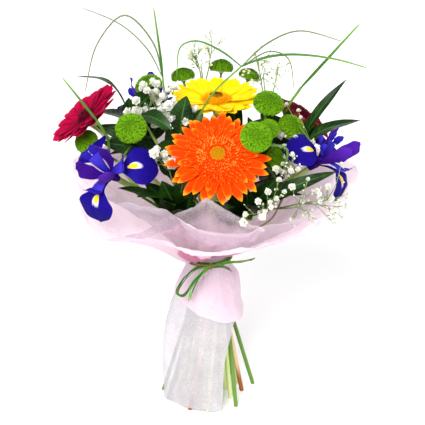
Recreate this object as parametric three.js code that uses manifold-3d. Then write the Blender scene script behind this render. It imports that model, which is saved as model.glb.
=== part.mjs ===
// A hand-tied mixed bouquet that stands on the cut ends of its spiralled stems: gerberas, irises,
// green button chrysanthemums, baby's breath, bear grass and broad green leaves, tied at a narrow
// neck, in two sheets of non-woven wrap that flare to a collar above the tie and a skirt below it.
// Millimetres. +Z is up, the front faces -Y, and the origin is on the floor under the middle of the neck.

import * as THREE from "three";
import { mergeVertices } from "three/addons/utils/BufferGeometryUtils.js";
import Module from "manifold-3d";

const wasm = await Module();
wasm.setup();

// Driving dimensions of the bundle of stems
const NECK_Z = 174; // height of the tie above the floor
const STEM_R = 2.75; // radius of a stem over its corners
const SLIM_R = 2.5; // a slim stem at the neck
const STEM_SIDES = 5;
const STEM_STEPS = 4; // straight pieces of a stem above the neck
const SPRAY_R = 2; // a branching stem where it forks
const BRANCH_R = 1.5;
const LEAFY_R = 1.6; // a leafy stem at its top
const STALK_R = 1.5; // the thin stem of grass or of baby's breath
const STEM_PITCH = 6.1; // spacing of the stems at the neck
const STEM_RINGS = 3; // rings of stems round the middle one
const SPIRAL = 0.0178; // sideways run of a stem per mm of height, for each mm from the axis
const SPIRAL_ABOVE = 40; // degrees that the stems turn between the neck and the flowers
const HEAD_TO_NECK = 0.125; // a stem's place in the neck, as a share of its flower's distance from the axis
// How soon a stem bends above the neck, as a share of its length there. The last ones are tried only
// where no free place in the neck works with the first ones.
const BENDS = [0.4, 0.3, 0.52];
const OTHER_BENDS = [0.46, 0.35, 0.6, 0.24];
const CLEAR = 0.3; // least gap between two pieces
const JOINT_GAP = 0.4; // gap between a flower and the stem that carries it

// Driving dimensions of the petals and leaves
const GERBERA_R = 56; // the gerbera whose other sizes are stated; smaller ones are scaled
const PETAL_T = 1.3;
const PETAL_EDGE_LIFT = 0.5; // a petal's edges lie this much above its middle
const GERBERA_NOTCH_R = 10; // where the petals part
const GERBERA_BASE = -3; // height of the underside, below the petals' level
const GERBERA_CUP_R = 6.5;
const LEAF_T = 0.9;
const LEAF_CUP = 0.24; // rise of a leaf's edges over its middle, as a share of its half width
const IRIS_T = 1.0;
const IRIS_BASE = -16; // height of the bottom of its throat, below its petals' level
const IRIS_STEM_TOP_R = 3.2;
const GRASS_T = 0.9;
const TWIG_R = 0.6;
const FORK_RADII = [1, 0.9]; // a branch that the twigs leave, at its base and at its end
const TWIG_SPACING = 0.08; // as a share of the branch that the twigs leave
const WRAP_T = 0.8;

const V = (x, y, z) => new THREE.Vector3(x, y, z);
const rad = THREE.MathUtils.degToRad;
const lerp = THREE.MathUtils.lerp;
const UP = V(0, 0, 1);

const colour = (hex, roughness) => new THREE.MeshStandardMaterial({ color: hex, roughness, metalness: 0 });
const MATERIALS = {
  orange: colour(0xff5a08, 0.6),
  yellow: colour(0xffd800, 0.6),
  crimson: colour(0xc4083f, 0.6),
  darkRed: colour(0x8c0f14, 0.6),
  florets: colour(0xf08a1c, 0.8),
  darkFlorets: colour(0x3a1310, 0.8),
  iris: colour(0x2a17b4, 0.55),
  lime: colour(0x74b71a, 0.8),
  breath: colour(0xf3f4ea, 0.9),
  leaf: colour(0x173f16, 0.4),
  grass: colour(0x4c8a2a, 0.5),
  stem: colour(0x6fa037, 0.6),
  wrapWhite: colour(0xf1eaf0, 0.9),
  wrapPink: colour(0xf4d9e8, 0.9),
  twine: colour(0xb89b66, 0.9),
  raffia: colour(0x5c9a35, 0.7),
};

// The same draws each time: a small seeded generator
function random(seed) {
  let state = seed;
  return () => {
    state = (state + 0x6d2b79f5) | 0;
    let t = Math.imul(state ^ (state >>> 15), 1 | state);
    t = (t + Math.imul(t ^ (t >>> 7), 61 | t)) ^ t;
    return ((t ^ (t >>> 14)) >>> 0) / 4294967296;
  };
}

// A closed surface as a solid. Faces that collapsed at a pole are dropped, and a surface
// that faces inwards is turned round.
function solidOf(geometry) {
  const bare = new THREE.BufferGeometry().setAttribute("position", geometry.getAttribute("position"));
  bare.setIndex(geometry.index);
  const merged = mergeVertices(bare, 1e-3);
  const index = merged.index.array;
  const faces = [];
  for (let i = 0; i < index.length; i += 3) {
    const [a, b, c] = [index[i], index[i + 1], index[i + 2]];
    if (a !== b && b !== c && a !== c) faces.push([a, b, c]);
  }
  const make = (list) =>
    new wasm.Manifold(
      new wasm.Mesh({
        numProp: 3,
        vertProperties: merged.attributes.position.array,
        triVerts: new Uint32Array(list.flat()),
      }),
    );
  const solid = make(faces);
  return solid.volume() < 0 ? make(faces.map(([a, b, c]) => [a, c, b])) : solid;
}

function surface(points, faces) {
  const geometry = new THREE.BufferGeometry().setFromPoints(points);
  geometry.setIndex(faces.flat());
  return solidOf(geometry);
}

function geometryOf(solid) {
  const mesh = solid.getMesh();
  const position = new Float32Array(mesh.numVert * 3);
  for (let i = 0; i < mesh.numVert; i++) {
    position.set(mesh.vertProperties.subarray(i * mesh.numProp, i * mesh.numProp + 3), i * 3);
  }
  const geometry = new THREE.BufferGeometry();
  geometry.setAttribute("position", new THREE.BufferAttribute(position, 3));
  geometry.setIndex(new THREE.BufferAttribute(mesh.triVerts, 1));
  geometry.computeVertexNormals();
  return geometry;
}

const union = (solids) => solids.reduce((sum, solid) => sum.add(solid));

// A skin over rings of equally many points. It ends in a flat cap, or in a tip.
function loft(rings, tip = null) {
  const n = rings[0].length;
  const points = rings.flat();
  const faces = [];
  for (let k = 0; k + 1 < rings.length; k++) {
    for (let j = 0; j < n; j++) {
      const [a, b] = [k * n + j, k * n + ((j + 1) % n)];
      faces.push([a, b, b + n], [a, b + n, a + n]);
    }
  }
  for (let j = 1; j + 1 < n; j++) faces.push([0, j + 1, j]);
  const last = (rings.length - 1) * n;
  if (tip) {
    points.push(tip);
    for (let j = 0; j < n; j++) faces.push([last + j, last + ((j + 1) % n), points.length - 1]);
  } else {
    for (let j = 1; j + 1 < n; j++) faces.push([last, last + j, last + j + 1]);
  }
  return surface(points, faces);
}

// A thin solid on both sides of a grid of points, split into triangles alike on its two faces
function slab(grid, thickness) {
  const rows = grid.length;
  const columns = grid[0].length;
  const at = (i, j) => grid[Math.min(Math.max(i, 0), rows - 1)][Math.min(Math.max(j, 0), columns - 1)];
  const sides = [1, -1].map((side) =>
    grid.flatMap((row, i) =>
      row.map((point, j) => {
        const along = at(i + 1, j).clone().sub(at(i - 1, j));
        const across = at(i, j + 1).clone().sub(at(i, j - 1));
        const normal = along.cross(across).normalize();
        return point.clone().addScaledVector(normal, (side * thickness) / 2);
      }),
    ),
  );
  const size = rows * columns;
  const faces = [];
  for (let i = 0; i + 1 < rows; i++) {
    for (let j = 0; j + 1 < columns; j++) {
      const [a, b] = [i * columns + j, i * columns + j + 1];
      const [c, d] = [b + columns, a + columns];
      faces.push([a, c, b], [a, d, c], [a + size, b + size, c + size], [a + size, c + size, d + size]);
    }
  }
  const rim = [];
  for (let j = 0; j + 1 < columns; j++) rim.push(j);
  for (let i = 0; i + 1 < rows; i++) rim.push(i * columns + columns - 1);
  for (let j = columns - 1; j > 0; j--) rim.push((rows - 1) * columns + j);
  for (let i = rows - 1; i > 0; i--) rim.push(i * columns);
  rim.forEach((a, k) => {
    const b = rim[(k + 1) % rim.length];
    faces.push([a, b, b + size], [a, b + size, a + size]);
  });
  return surface(sides.flat(), faces);
}

// A tube of many-cornered section along points. Its first `level` rings are horizontal, and its
// last one is square to `end` if that is given.
function tube(points, radii, sides, level = 0, end = null) {
  let across = V(1, 0, 0);
  const rings = points.map((point, i) => {
    const ahead = points[Math.min(i + 1, points.length - 1)];
    const behind = points[Math.max(i - 1, 0)];
    let along = ahead.clone().sub(behind).normalize();
    if (i < level) along = UP.clone();
    if (end && i === points.length - 1) along = end.clone().normalize();
    across = across.clone().addScaledVector(along, -across.dot(along)).normalize();
    const other = along.clone().cross(across);
    return Array.from({ length: sides }, (_, k) => {
      const angle = (k / sides) * Math.PI * 2;
      return point
        .clone()
        .addScaledVector(across, Math.cos(angle) * radii[i])
        .addScaledVector(other, Math.sin(angle) * radii[i]);
    });
  });
  return loft(rings);
}

// A turned piece: the profile's points are [radius, height], from the axis round to the axis again
function turned(profile, sides) {
  const lathe = new THREE.LatheGeometry(
    profile.map(([r, z]) => new THREE.Vector2(r, z)),
    sides,
  );
  return solidOf(lathe.rotateX(Math.PI / 2));
}

// A ball-like or lens-like head whose skin stands out in points, every other one in each row.
// Rows are [radius, height, bump], from the row under the crown to the row at the rim.
function bumpyHead(rows, crownZ, baseZ, around) {
  const points = [V(0, 0, crownZ)];
  rows.forEach(([r, z, bump], i) => {
    for (let j = 0; j < around; j++) {
      const out = (i + j) % 2 ? bump : -bump;
      const angle = (j / around) * Math.PI * 2;
      const length = Math.hypot(r, z - baseZ);
      const share = 1 + out / length;
      points.push(V(r * share * Math.cos(angle), r * share * Math.sin(angle), baseZ + (z - baseZ) * share));
    }
  });
  points.push(V(0, 0, baseZ));
  const faces = [];
  const at = (i, j) => 1 + i * around + (j % around);
  for (let j = 0; j < around; j++) {
    faces.push([0, at(0, j), at(0, j + 1)]);
    for (let i = 0; i + 1 < rows.length; i++) {
      faces.push([at(i, j), at(i + 1, j), at(i + 1, j + 1)], [at(i, j), at(i + 1, j + 1), at(i, j + 1)]);
    }
    faces.push([at(rows.length - 1, j), points.length - 1, at(rows.length - 1, j + 1)]);
  }
  return surface(points, faces);
}

// What has been made so far: each piece's solid where it stands
const group = new THREE.Group();
const placed = [];

function boxesNear(a, b, gap) {
  const [p, q] = [a.boundingBox(), b.boundingBox()];
  return [0, 1, 2].every((k) => p.min[k] - gap < q.max[k] && q.min[k] - gap < p.max[k]);
}

const isClear = (solid) =>
  placed.every(
    (other) => !boxesNear(solid, other.solid, CLEAR) || solid.minGap(other.solid, CLEAR) >= CLEAR,
  );

// Adds a piece modelled in its own frame, then stood at a point and turned to face a way
function add(name, material, solid, at = V(0, 0, 0), face = UP, spin = 0) {
  const turn = new THREE.Quaternion()
    .setFromUnitVectors(UP, face.clone().normalize())
    .multiply(new THREE.Quaternion().setFromAxisAngle(UP, rad(spin)));
  const mesh = new THREE.Mesh(geometryOf(solid), material);
  mesh.name = name;
  mesh.position.copy(at);
  mesh.quaternion.copy(turn);
  group.add(mesh);
  mesh.updateMatrixWorld(true);
  placed.push({ name, solid: solid.transform(mesh.matrixWorld.toArray()) });
  return mesh;
}

// The turn about a facing that brings a flower's own +X towards a direction
function spinTowards(face, direction) {
  const upright = new THREE.Quaternion().setFromUnitVectors(face.clone().normalize(), UP);
  const local = direction.clone().applyQuaternion(upright);
  return THREE.MathUtils.radToDeg(Math.atan2(local.y, local.x));
}

// Places for the stems in the neck: a hexagonal pattern without its six corners
function neckPlaces() {
  const places = [];
  for (let q = -STEM_RINGS; q <= STEM_RINGS; q++) {
    for (let r = -STEM_RINGS; r <= STEM_RINGS; r++) {
      if (Math.abs(q + r) > STEM_RINGS) continue;
      places.push(V(STEM_PITCH * (q + r / 2), STEM_PITCH * r * Math.sin(Math.PI / 3), NECK_Z));
    }
  }
  const corner = STEM_RINGS * STEM_PITCH - 0.1;
  return places.filter((p) => Math.hypot(p.x, p.y) < corner);
}
const freePlaces = neckPlaces();

// A stem's points: straight from the floor through its place in the neck, then bending to its top
function stemPoints(place, top, face, bend) {
  const lean = V(-place.y * SPIRAL, place.x * SPIRAL, 1);
  const foot = place.clone().addScaledVector(lean, -NECK_Z);
  const reach = place.distanceTo(top) * bend;
  const curve = new THREE.CubicBezierCurve3(
    place,
    place.clone().addScaledVector(lean, reach),
    top.clone().addScaledVector(face, -reach),
    top,
  );
  return [foot, ...curve.getPoints(STEM_STEPS)];
}

// Makes a stem in the free place nearest the one it wants that leaves it clear of what is there.
// `build` turns the stem's points into the whole solid, branches and leaves included.
function growStem(name, material, { top, face }, build) {
  const wanted = top
    .clone()
    .setZ(0)
    .multiplyScalar(HEAD_TO_NECK)
    .applyAxisAngle(UP, rad(-SPIRAL_ABOVE))
    .setZ(NECK_Z);
  const order = [...freePlaces].sort((a, b) => a.distanceTo(wanted) - b.distanceTo(wanted));
  for (const bends of [BENDS, OTHER_BENDS]) {
    for (const place of order) {
      for (const bend of bends) {
        const solid = build(stemPoints(place, top, face, bend));
        if (!isClear(solid)) continue;
        freePlaces.splice(freePlaces.indexOf(place), 1);
        add(name, material, solid);
        return;
      }
    }
  }
  throw new Error(name + " has no free place in the neck");
}

// A stem is full size up to the neck. A slim one narrows sooner.
const stemRadii = (count, topRadius, slim) =>
  Array.from({ length: count }, (_, i) => {
    if (slim) return [STEM_R, SLIM_R][i] ?? topRadius;
    return i < 2 ? STEM_R : lerp(STEM_R, topRadius, (i - 1) / (count - 2));
  });

const plainStem = (points, topRadius, { slim = false, end = null } = {}) =>
  tube(points, stemRadii(points.length, topRadius, slim), STEM_SIDES, 2, end);

// Gerberas: two layers of long petals, one of short ones, and a raised ring of fine florets.

// A flower of layered petals as one closed surface, from the lowest layer to the highest. Each
// layer's petals part at a notch. Each petal is ridged along its middle and thin at its edges.
function petalWheel(layers, baseZ, crownZ) {
  const points = [];
  const faces = [];
  const put = (angle, r, z) => points.push(V(r * Math.cos(angle), r * Math.sin(angle), z)) - 1;
  const base = put(0, 0, baseZ);
  let below = null;
  for (const { count, turnShare, z, notch, tip, rows, rise } of layers) {
    const step = (Math.PI * 2) / count;
    const height = (r) => z + (rise * (r - notch) ** 2) / (GERBERA_R - notch);
    const notches = Array.from({ length: count }, (_, k) => {
      const angle = (k + turnShare - 0.5) * step;
      return { low: put(angle, notch, z - PETAL_T / 2), high: put(angle, notch, z + PETAL_T / 2) };
    });
    notches.forEach((from, k) => {
      const to = notches[(k + 1) % count];
      const angle = (k + turnShare) * step;
      const reach = tip(k);
      let [left, right, low, high] = [from, to, null, null];
      rows.forEach(([share, halfWidth]) => {
        const r = lerp(notch, reach, share);
        const spread = Math.atan2(halfWidth, r);
        const edge = Math.hypot(r, halfWidth);
        const l = put(angle - spread, edge, height(r) + PETAL_EDGE_LIFT);
        const m = put(angle + spread, edge, height(r) + PETAL_EDGE_LIFT);
        const under = put(angle, r, height(r) - PETAL_T / 2);
        const over = put(angle, r, height(r) + PETAL_T / 2);
        if (high === null) {
          faces.push([from.high, l, over], [from.high, over, to.high], [over, m, to.high]);
          faces.push([from.low, under, l], [from.low, to.low, under], [under, to.low, m]);
          faces.push([from.low, l, from.high], [to.high, m, to.low]);
        } else {
          faces.push([left, l, over], [left, over, high], [high, over, m], [high, m, right]);
          faces.push([left, under, l], [left, low, under], [low, m, under], [low, right, m]);
        }
        [left, right, low, high] = [l, m, under, over];
      });
      const end = put(angle, reach, height(reach));
      faces.push([left, end, high], [high, end, right], [left, low, end], [low, right, end]);
      if (below) {
        const under = below[k];
        const next = below[(k + 1) % count];
        faces.push([under.high, from.low, to.low].reverse(), [under.high, to.low, next.high].reverse());
      } else {
        faces.push([base, to.low, from.low]);
      }
    });
    below = notches;
  }
  const crown = put(0, 0, crownZ);
  below.forEach((from, k) => faces.push([crown, from.high, below[(k + 1) % below.length].high]));
  return surface(points, faces);
}

const GERBERAS = [
  {
    name: "orange",
    at: V(10, -75, 321),
    face: V(0.03, -0.62, 0.78),
    radius: 56,
    count: 14,
    rise: 0.02,
    petals: MATERIALS.orange,
    middle: MATERIALS.florets,
  },
  {
    name: "yellow",
    at: V(9, 30, 343),
    face: V(0.0, -0.06, 1),
    radius: 52,
    count: 13,
    rise: 0.14,
    petals: MATERIALS.yellow,
    middle: MATERIALS.florets,
  },
  {
    name: "crimson",
    at: V(-128, -5, 338),
    face: V(-0.6, -0.1, 0.79),
    radius: 45,
    count: 12,
    rise: 0.1,
    petals: MATERIALS.crimson,
    middle: MATERIALS.darkFlorets,
  },
  {
    name: "dark_red",
    at: V(101, 58, 319),
    face: V(0.5, 0.1, 0.86),
    radius: 43,
    count: 12,
    rise: 0.08,
    petals: MATERIALS.darkRed,
    middle: MATERIALS.darkFlorets,
  },
];

function gerberaFlower({ radius, count, rise }) {
  const drawn = random(Math.round(radius * 7));
  const size = radius / GERBERA_R;
  const long = (share) => () => GERBERA_R * share * (0.94 + 0.06 * drawn());
  const width = (Math.PI * GERBERA_R * 0.55) / count;
  const wide = [
    [0.55, width],
    [0.86, width * 0.72],
  ];
  const short = [[0.62, width * 0.6]];
  const notch = GERBERA_NOTCH_R;
  const layers = [
    { count, turnShare: 0, z: -1.2, notch, tip: long(1), rows: wide, rise },
    { count, turnShare: 0.5, z: 1.3, notch, tip: long(0.97), rows: wide, rise },
    { count, turnShare: 1, z: 3.6, notch, tip: long(0.64), rows: short, rise: rise + 0.25 },
  ];
  return petalWheel(layers, GERBERA_BASE, 4.6).scale([size, size, size]);
}

// The florets: a small smooth eye, then rows of points that spread over the short petals
function gerberaMiddle({ radius }) {
  const size = radius / GERBERA_R;
  const rows = [
    [5, 9.6, 0],
    [7.5, 8.8, 0],
    [10, 10.6, 0.9],
    [14, 10.2, 1.1],
    [18, 9.2, 1.2],
    [22, 8, 1.2],
  ];
  return bumpyHead(rows, 9.4, 5, 14).scale([size, size, size]);
}

function addGerbera(flower) {
  const face = flower.face.clone().normalize();
  const size = flower.radius / GERBERA_R;
  add(`gerbera_${flower.name}_petals`, flower.petals, gerberaFlower(flower), flower.at, face);
  add(`gerbera_${flower.name}_florets`, flower.middle, gerberaMiddle(flower), flower.at, face);
  return { flower, face, top: flower.at.clone().addScaledVector(face, GERBERA_BASE * size - JOINT_GAP) };
}

// The stem widens into the green cup that carries the petals
function addGerberaStem({ flower, face, top }) {
  growStem(`gerbera_${flower.name}_stem`, MATERIALS.stem, { top, face }, (points) => {
    const radii = stemRadii(points.length, STEM_R);
    radii[radii.length - 1] = GERBERA_CUP_R;
    return tube(points, radii, STEM_SIDES, 2, face);
  });
}

// Irises: three falls that bend over, three upright standards, and three crested style arms.

// A petal of an iris in the plane of +X and +Z: its rows are [out, up, half width, edge lift]
function irisPetal(rows, angle) {
  const grid = rows.map(([out, up, half, lift]) => [
    V(out, -half, up + lift),
    V(out, 0, up),
    V(out, half, up + lift),
  ]);
  return slab(grid, IRIS_T).rotate([0, 0, angle]);
}

const FALL = [
  [2, -6, 1.6, 0],
  [22, 11, 6, 1],
  [36, 12, 20, -1.5],
  [47, 3.5, 21, -2],
  [54, -11, 5, 0],
];
const STANDARD = [
  [2, -4, 1.6, 0],
  [14, 18, 6, 0],
  [20, 38, 10, 0],
  [19, 50, 3, 0],
];
const STYLE_ARM = [
  [1, 4, 1.6, 0],
  [12, 15, 5, -1.5],
  [25, 22, 7.5, -1],
  [28, 31, 5, 0],
];

// `fall` is the way that the first of the three falls points
const IRISES = [
  { name: "left", at: V(-99, -70, 299), face: V(-0.38, -0.7, 0.6), fall: V(31, -7, 11), size: 0.88 },
  { name: "right", at: V(118, -24, 295), face: V(0.72, -0.22, 0.66), fall: V(-22, -19, 17), size: 0.86 },
  { name: "back", at: V(-66, 98, 304), face: V(-0.1, 0.1, 1), fall: V(0.97, 0.24, 0), size: 0.84 },
];

function irisFlower({ size }) {
  const throat = turned([[0, IRIS_BASE], [3.6, IRIS_BASE], [5, -3], [0, 9]], 6);
  const petals = [0, 120, 240].flatMap((angle) => [
    irisPetal(FALL, angle),
    irisPetal(STYLE_ARM, angle),
    irisPetal(STANDARD, angle + 60),
  ]);
  return union([throat, ...petals]).scale([size, size, size]);
}

// Button chrysanthemums, several heads to a branching stem
const HEAD_ROWS = [
  [0.32, 0.93, 0.04],
  [0.62, 0.76, 0.06],
  [0.85, 0.48, 0.07],
  [0.97, 0.15, 0.07],
  [0.93, -0.18, 0.06],
];
const HEAD_BASE = -0.42; // height of the underside, as a share of the head's radius
const HEAD_NECK = 9; // length of the straight end of a branch under its head
const HEAD_CUP_R = 3.4;

const SPRAYS = [
  {
    name: "left",
    fork: V(-94, -20, 292),
    heads: [
      { at: V(-79, -50, 343), radius: 17, face: V(-0.2, -0.55, 0.8) },
      { at: V(-129, -14, 313.6), radius: 13.5, face: V(-0.5, -0.5, 0.7) },
    ],
  },
  {
    name: "back_left",
    fork: V(-34, 50, 300),
    heads: [
      { at: V(-64, 34, 360), radius: 15.5, face: V(-0.3, -0.1, 1) },
      { at: V(-28, 84, 353), radius: 14, face: V(-0.15, 0.35, 1) },
    ],
  },
  {
    name: "back",
    fork: V(28, 84, 305),
    heads: [
      { at: V(15, 99, 358), radius: 14, face: V(0.05, 0.35, 1) },
      { at: V(46, 88, 352), radius: 12.5, face: V(0.3, 0.35, 0.9) },
    ],
  },
  {
    name: "right",
    fork: V(66, 2, 300),
    heads: [
      { at: V(64, -9, 355), radius: 17, face: V(0.2, -0.25, 1) },
      { at: V(89, -7, 327), radius: 16, face: V(0.6, -0.3, 0.8) },
      { at: V(64, -41, 339), radius: 11.5, face: V(0.3, -0.5, 0.8) },
    ],
  },
  {
    name: "front",
    fork: V(74, -33, 276),
    heads: [
      {
        at: V(49, -84, 347),
        radius: 17,
        face: V(0.25, -0.6, 0.75),
        via: [V(80, -56, 302), V(80, -66, 328)],
      },
      { at: V(71, -42, 306), radius: 12, face: V(0.75, -0.5, 0.5) },
    ],
  },
];

function addHead(spray, head, index) {
  const rows = HEAD_ROWS.map((row) => row.map((share) => share * head.radius));
  const solid = bumpyHead(rows, head.radius, HEAD_BASE * head.radius, 12);
  add(`button_${spray.name}_${index + 1}`, MATERIALS.lime, solid, head.at, head.face, index * 37);
}

function branch(from, { at, radius, face, via = [] }) {
  const out = face.clone().normalize();
  const top = at.clone().addScaledVector(out, HEAD_BASE * radius - JOINT_GAP);
  const back = top.clone().addScaledVector(out, -HEAD_NECK);
  const points = new THREE.CatmullRomCurve3([from, ...via, back, top]).getPoints(4 + via.length);
  const radii = points.map((_, i) => (i === points.length - 1 ? HEAD_CUP_R : BRANCH_R));
  return tube(points, radii, 5);
}

function addSprayStem(spray) {
  const face = V(spray.fork.x * 0.004, spray.fork.y * 0.004, 1).normalize();
  growStem(`button_${spray.name}_stem`, MATERIALS.stem, { top: spray.fork, face }, (points) =>
    union([plainStem(points, SPRAY_R), ...spray.heads.map((head) => branch(spray.fork, head))]),
  );
}

// Leaves

// A blade from a base to a tip, arched and cupped, with its upper side towards `face`
function blade({ from, tip, width, arch, face = UP, steps = 4 }) {
  const along = tip.clone().sub(from);
  const side = along.clone().cross(face).normalize();
  const normal = side.clone().cross(along).normalize();
  const grid = Array.from({ length: steps + 1 }, (_, i) => {
    const t = i / steps;
    const half = Math.max((width / 2) * Math.sin(Math.PI * t ** 0.85) ** 0.8 || 0, t < 0.5 ? 1.1 : 0.5);
    const middle = from
      .clone()
      .addScaledVector(along, t)
      .addScaledVector(normal, arch * Math.sin(Math.PI * t));
    return [-1, 0, 1].map((share) =>
      middle
        .clone()
        .addScaledVector(side, share * half)
        .addScaledVector(normal, Math.abs(share) * half * LEAF_CUP),
    );
  });
  return slab(grid, LEAF_T);
}

// Each leafy stem: where its stem ends, and its leaves, whose bases are a share along the upper stem
const LEAFY = [
  {
    name: "left",
    top: V(-70, -18, 345),
    leaves: [
      { on: 1, tip: V(-37, -46, 339), width: 18, arch: 7, face: V(0.1, -0.7, 0.7) },
      { on: 0.93, tip: V(-106, -34, 336), width: 12, arch: 3 },
    ],
  },
  {
    name: "middle",
    top: V(-29, -22, 326),
    leaves: [
      { on: 1, tip: V(-22, -16, 366), width: 25, arch: 3, face: V(-0.2, -1, 0.2) },
      { on: 0.9, tip: V(-58, -62, 318), width: 22, arch: 5, face: V(-0.1, -0.5, 0.8) },
    ],
  },
  {
    name: "back_left",
    top: V(-88, 26, 336),
    leaves: [
      { on: 1, tip: V(-142, 26, 372), width: 10, arch: 14, steps: 6 },
      { on: 0.9, tip: V(-132, 62, 318), width: 18, arch: 6, steps: 3 },
    ],
  },
  {
    name: "right",
    top: V(95, 3, 300),
    leaves: [
      { on: 1, tip: V(148, 8, 374), width: 12, arch: 7, face: V(-0.6, -0.6, 0.5) },
      { on: 0.94, tip: V(163, 4, 331), width: 17, arch: 12, face: V(-0.2, -0.4, 0.9), steps: 5 },
    ],
  },
  {
    name: "front_left",
    top: V(-34, -62, 262),
    leaves: [
      { on: 1, tip: V(-72, -92, 284), width: 26, arch: 4, steps: 3 },
      { on: 0.9, tip: V(-36, -104, 281), width: 24, arch: 5, steps: 3 },
      { on: 0.9, tip: V(-94, -60, 280), width: 24, arch: 4, steps: 3 },
    ],
  },
  {
    name: "front_right",
    top: V(44, -56, 258),
    leaves: [
      { on: 1, tip: V(98, -82, 282), width: 22, arch: 4, steps: 3 },
      { on: 0.9, tip: V(18, -108, 278), width: 24, arch: 5, steps: 3 },
      { on: 0.97, tip: V(134, -58, 298), width: 16, arch: 6, face: V(0, -0.8, 0.6), steps: 4 },
    ],
  },
  {
    name: "back",
    top: V(24, 70, 264),
    leaves: [
      { on: 1, tip: V(62, 100, 296), width: 24, arch: 5, steps: 3 },
      { on: 0.9, tip: V(-20, 112, 292), width: 24, arch: 5, steps: 3 },
      { on: 0.8, tip: V(98, 76, 286), width: 22, arch: 5, steps: 3 },
    ],
  },
];

function addLeafy(plant) {
  const face = V(plant.top.x * 0.006, plant.top.y * 0.006, 1).normalize();
  growStem(`leaves_${plant.name}`, MATERIALS.leaf, { top: plant.top, face }, (points) => {
    const upper = new THREE.CatmullRomCurve3(points.slice(1));
    const leaves = plant.leaves.map((leaf) => blade({ ...leaf, from: upper.getPoint(leaf.on) }));
    return union([plainStem(points, LEAFY_R), ...leaves]);
  });
}

// Bear grass: narrow blades along hand-set curves, fused to one stalk where they start

// A flat three-cornered blade that narrows to its tip
function grassBlade(points, width) {
  const curve = new THREE.CatmullRomCurve3(points);
  const steps = Math.max(3, Math.round(curve.getLength() / 17));
  const middle = curve.getPoints(steps);
  const rings = middle.slice(0, -1).map((point, i) => {
    const along = middle[i + 1].clone().sub(middle[Math.max(i - 1, 0)]);
    const side = along.clone().cross(V(0, -0.9, 0.42)).normalize();
    const out = side.clone().cross(along).normalize();
    const half = (width / 2) * (1 - 0.6 * (i / steps) ** 2);
    return [
      point.clone().addScaledVector(side, -half),
      point.clone().addScaledVector(side, half),
      point.clone().addScaledVector(out, GRASS_T),
    ];
  });
  return loft(rings, middle[steps]);
}

// `up` is the stalk's way from the top of its stem to the point where its blades part
const TUFTS = [
  {
    name: "left",
    top: V(-45, 8, 330),
    up: [V(-46, 14, 352), V(-48, 18, 374)],
    blades: [
      { width: 3, points: [V(-58, 22, 412), V(-87, 24, 441), V(-116, 22, 412), V(-133, 18, 352)] },
      { width: 2.4, points: [V(-64, 28, 402), V(-92, 30, 429), V(-136, 30, 449)] },
      { width: 3.6, points: [V(-50, 14, 400), V(-56, 6, 456)] },
    ],
  },
  {
    name: "right",
    top: V(-14, -21, 328),
    up: [V(-7, -28, 352), V(8, -30, 377), V(35, -12, 397)],
    blades: [
      { width: 3, points: [V(60, 2, 416), V(94, 14, 427), V(146, 26, 411)] },
      { width: 3.6, points: [V(58, -14, 407), V(87, -12, 410), V(130, -14, 406), V(168, -20, 397)] },
      { width: 2.4, points: [V(65, 4, 408), V(84, 6, 400), V(92, 6, 362)] },
      { width: 2.8, points: [V(14, -4, 411), V(-12, 2, 420), V(-28, 2, 414), V(-33, 2, 379)] },
    ],
  },
];

const SINGLES = [
  { name: "left", top: V(-104, -40, 326), width: 3.4, up: [V(-113, -55, 353)], points: [V(-147, -60, 403)] },
  { name: "right", top: V(84, 15, 338), width: 4.2, up: [V(99, 14, 364)], points: [V(158, -6, 443)] },
];

function addTuft({ name, top, up, blades }) {
  const face = V(0.1, 0, 1).normalize();
  const fork = up[up.length - 1];
  growStem(`grass_${name}`, MATERIALS.grass, { top, face }, (points) => {
    const stalk = [...points, ...up];
    const parts = blades.map(({ width, points: way }) => grassBlade([fork, ...way], width));
    return union([plainStem(stalk, STALK_R, { slim: true }), ...parts]);
  });
}

// Baby's breath: a stem that forks into fine branches with a small white floret on each.
// A branch grows only where there is room for it between the flowers already there.

// A twig that ends in a floret: it swells to the floret's belly and closes in a blunt tip
function sprig(from, at, radius) {
  const along = at.clone().sub(from).normalize();
  const neck = at.clone().addScaledVector(along, -radius * 0.8);
  const tip = at.clone().addScaledVector(along, radius * 0.8);
  const across = along.clone().cross(V(0.3, 0.9, 0.2)).normalize();
  const other = along.clone().cross(across);
  const section = (middle, r) =>
    Array.from({ length: 3 }, (_, k) => {
      const angle = (k / 3) * Math.PI * 2;
      return middle
        .clone()
        .addScaledVector(across, Math.cos(angle) * r)
        .addScaledVector(other, Math.sin(angle) * r);
    });
  return loft([section(from, TWIG_R), section(neck, TWIG_R), section(at, radius)], tip);
}

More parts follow.
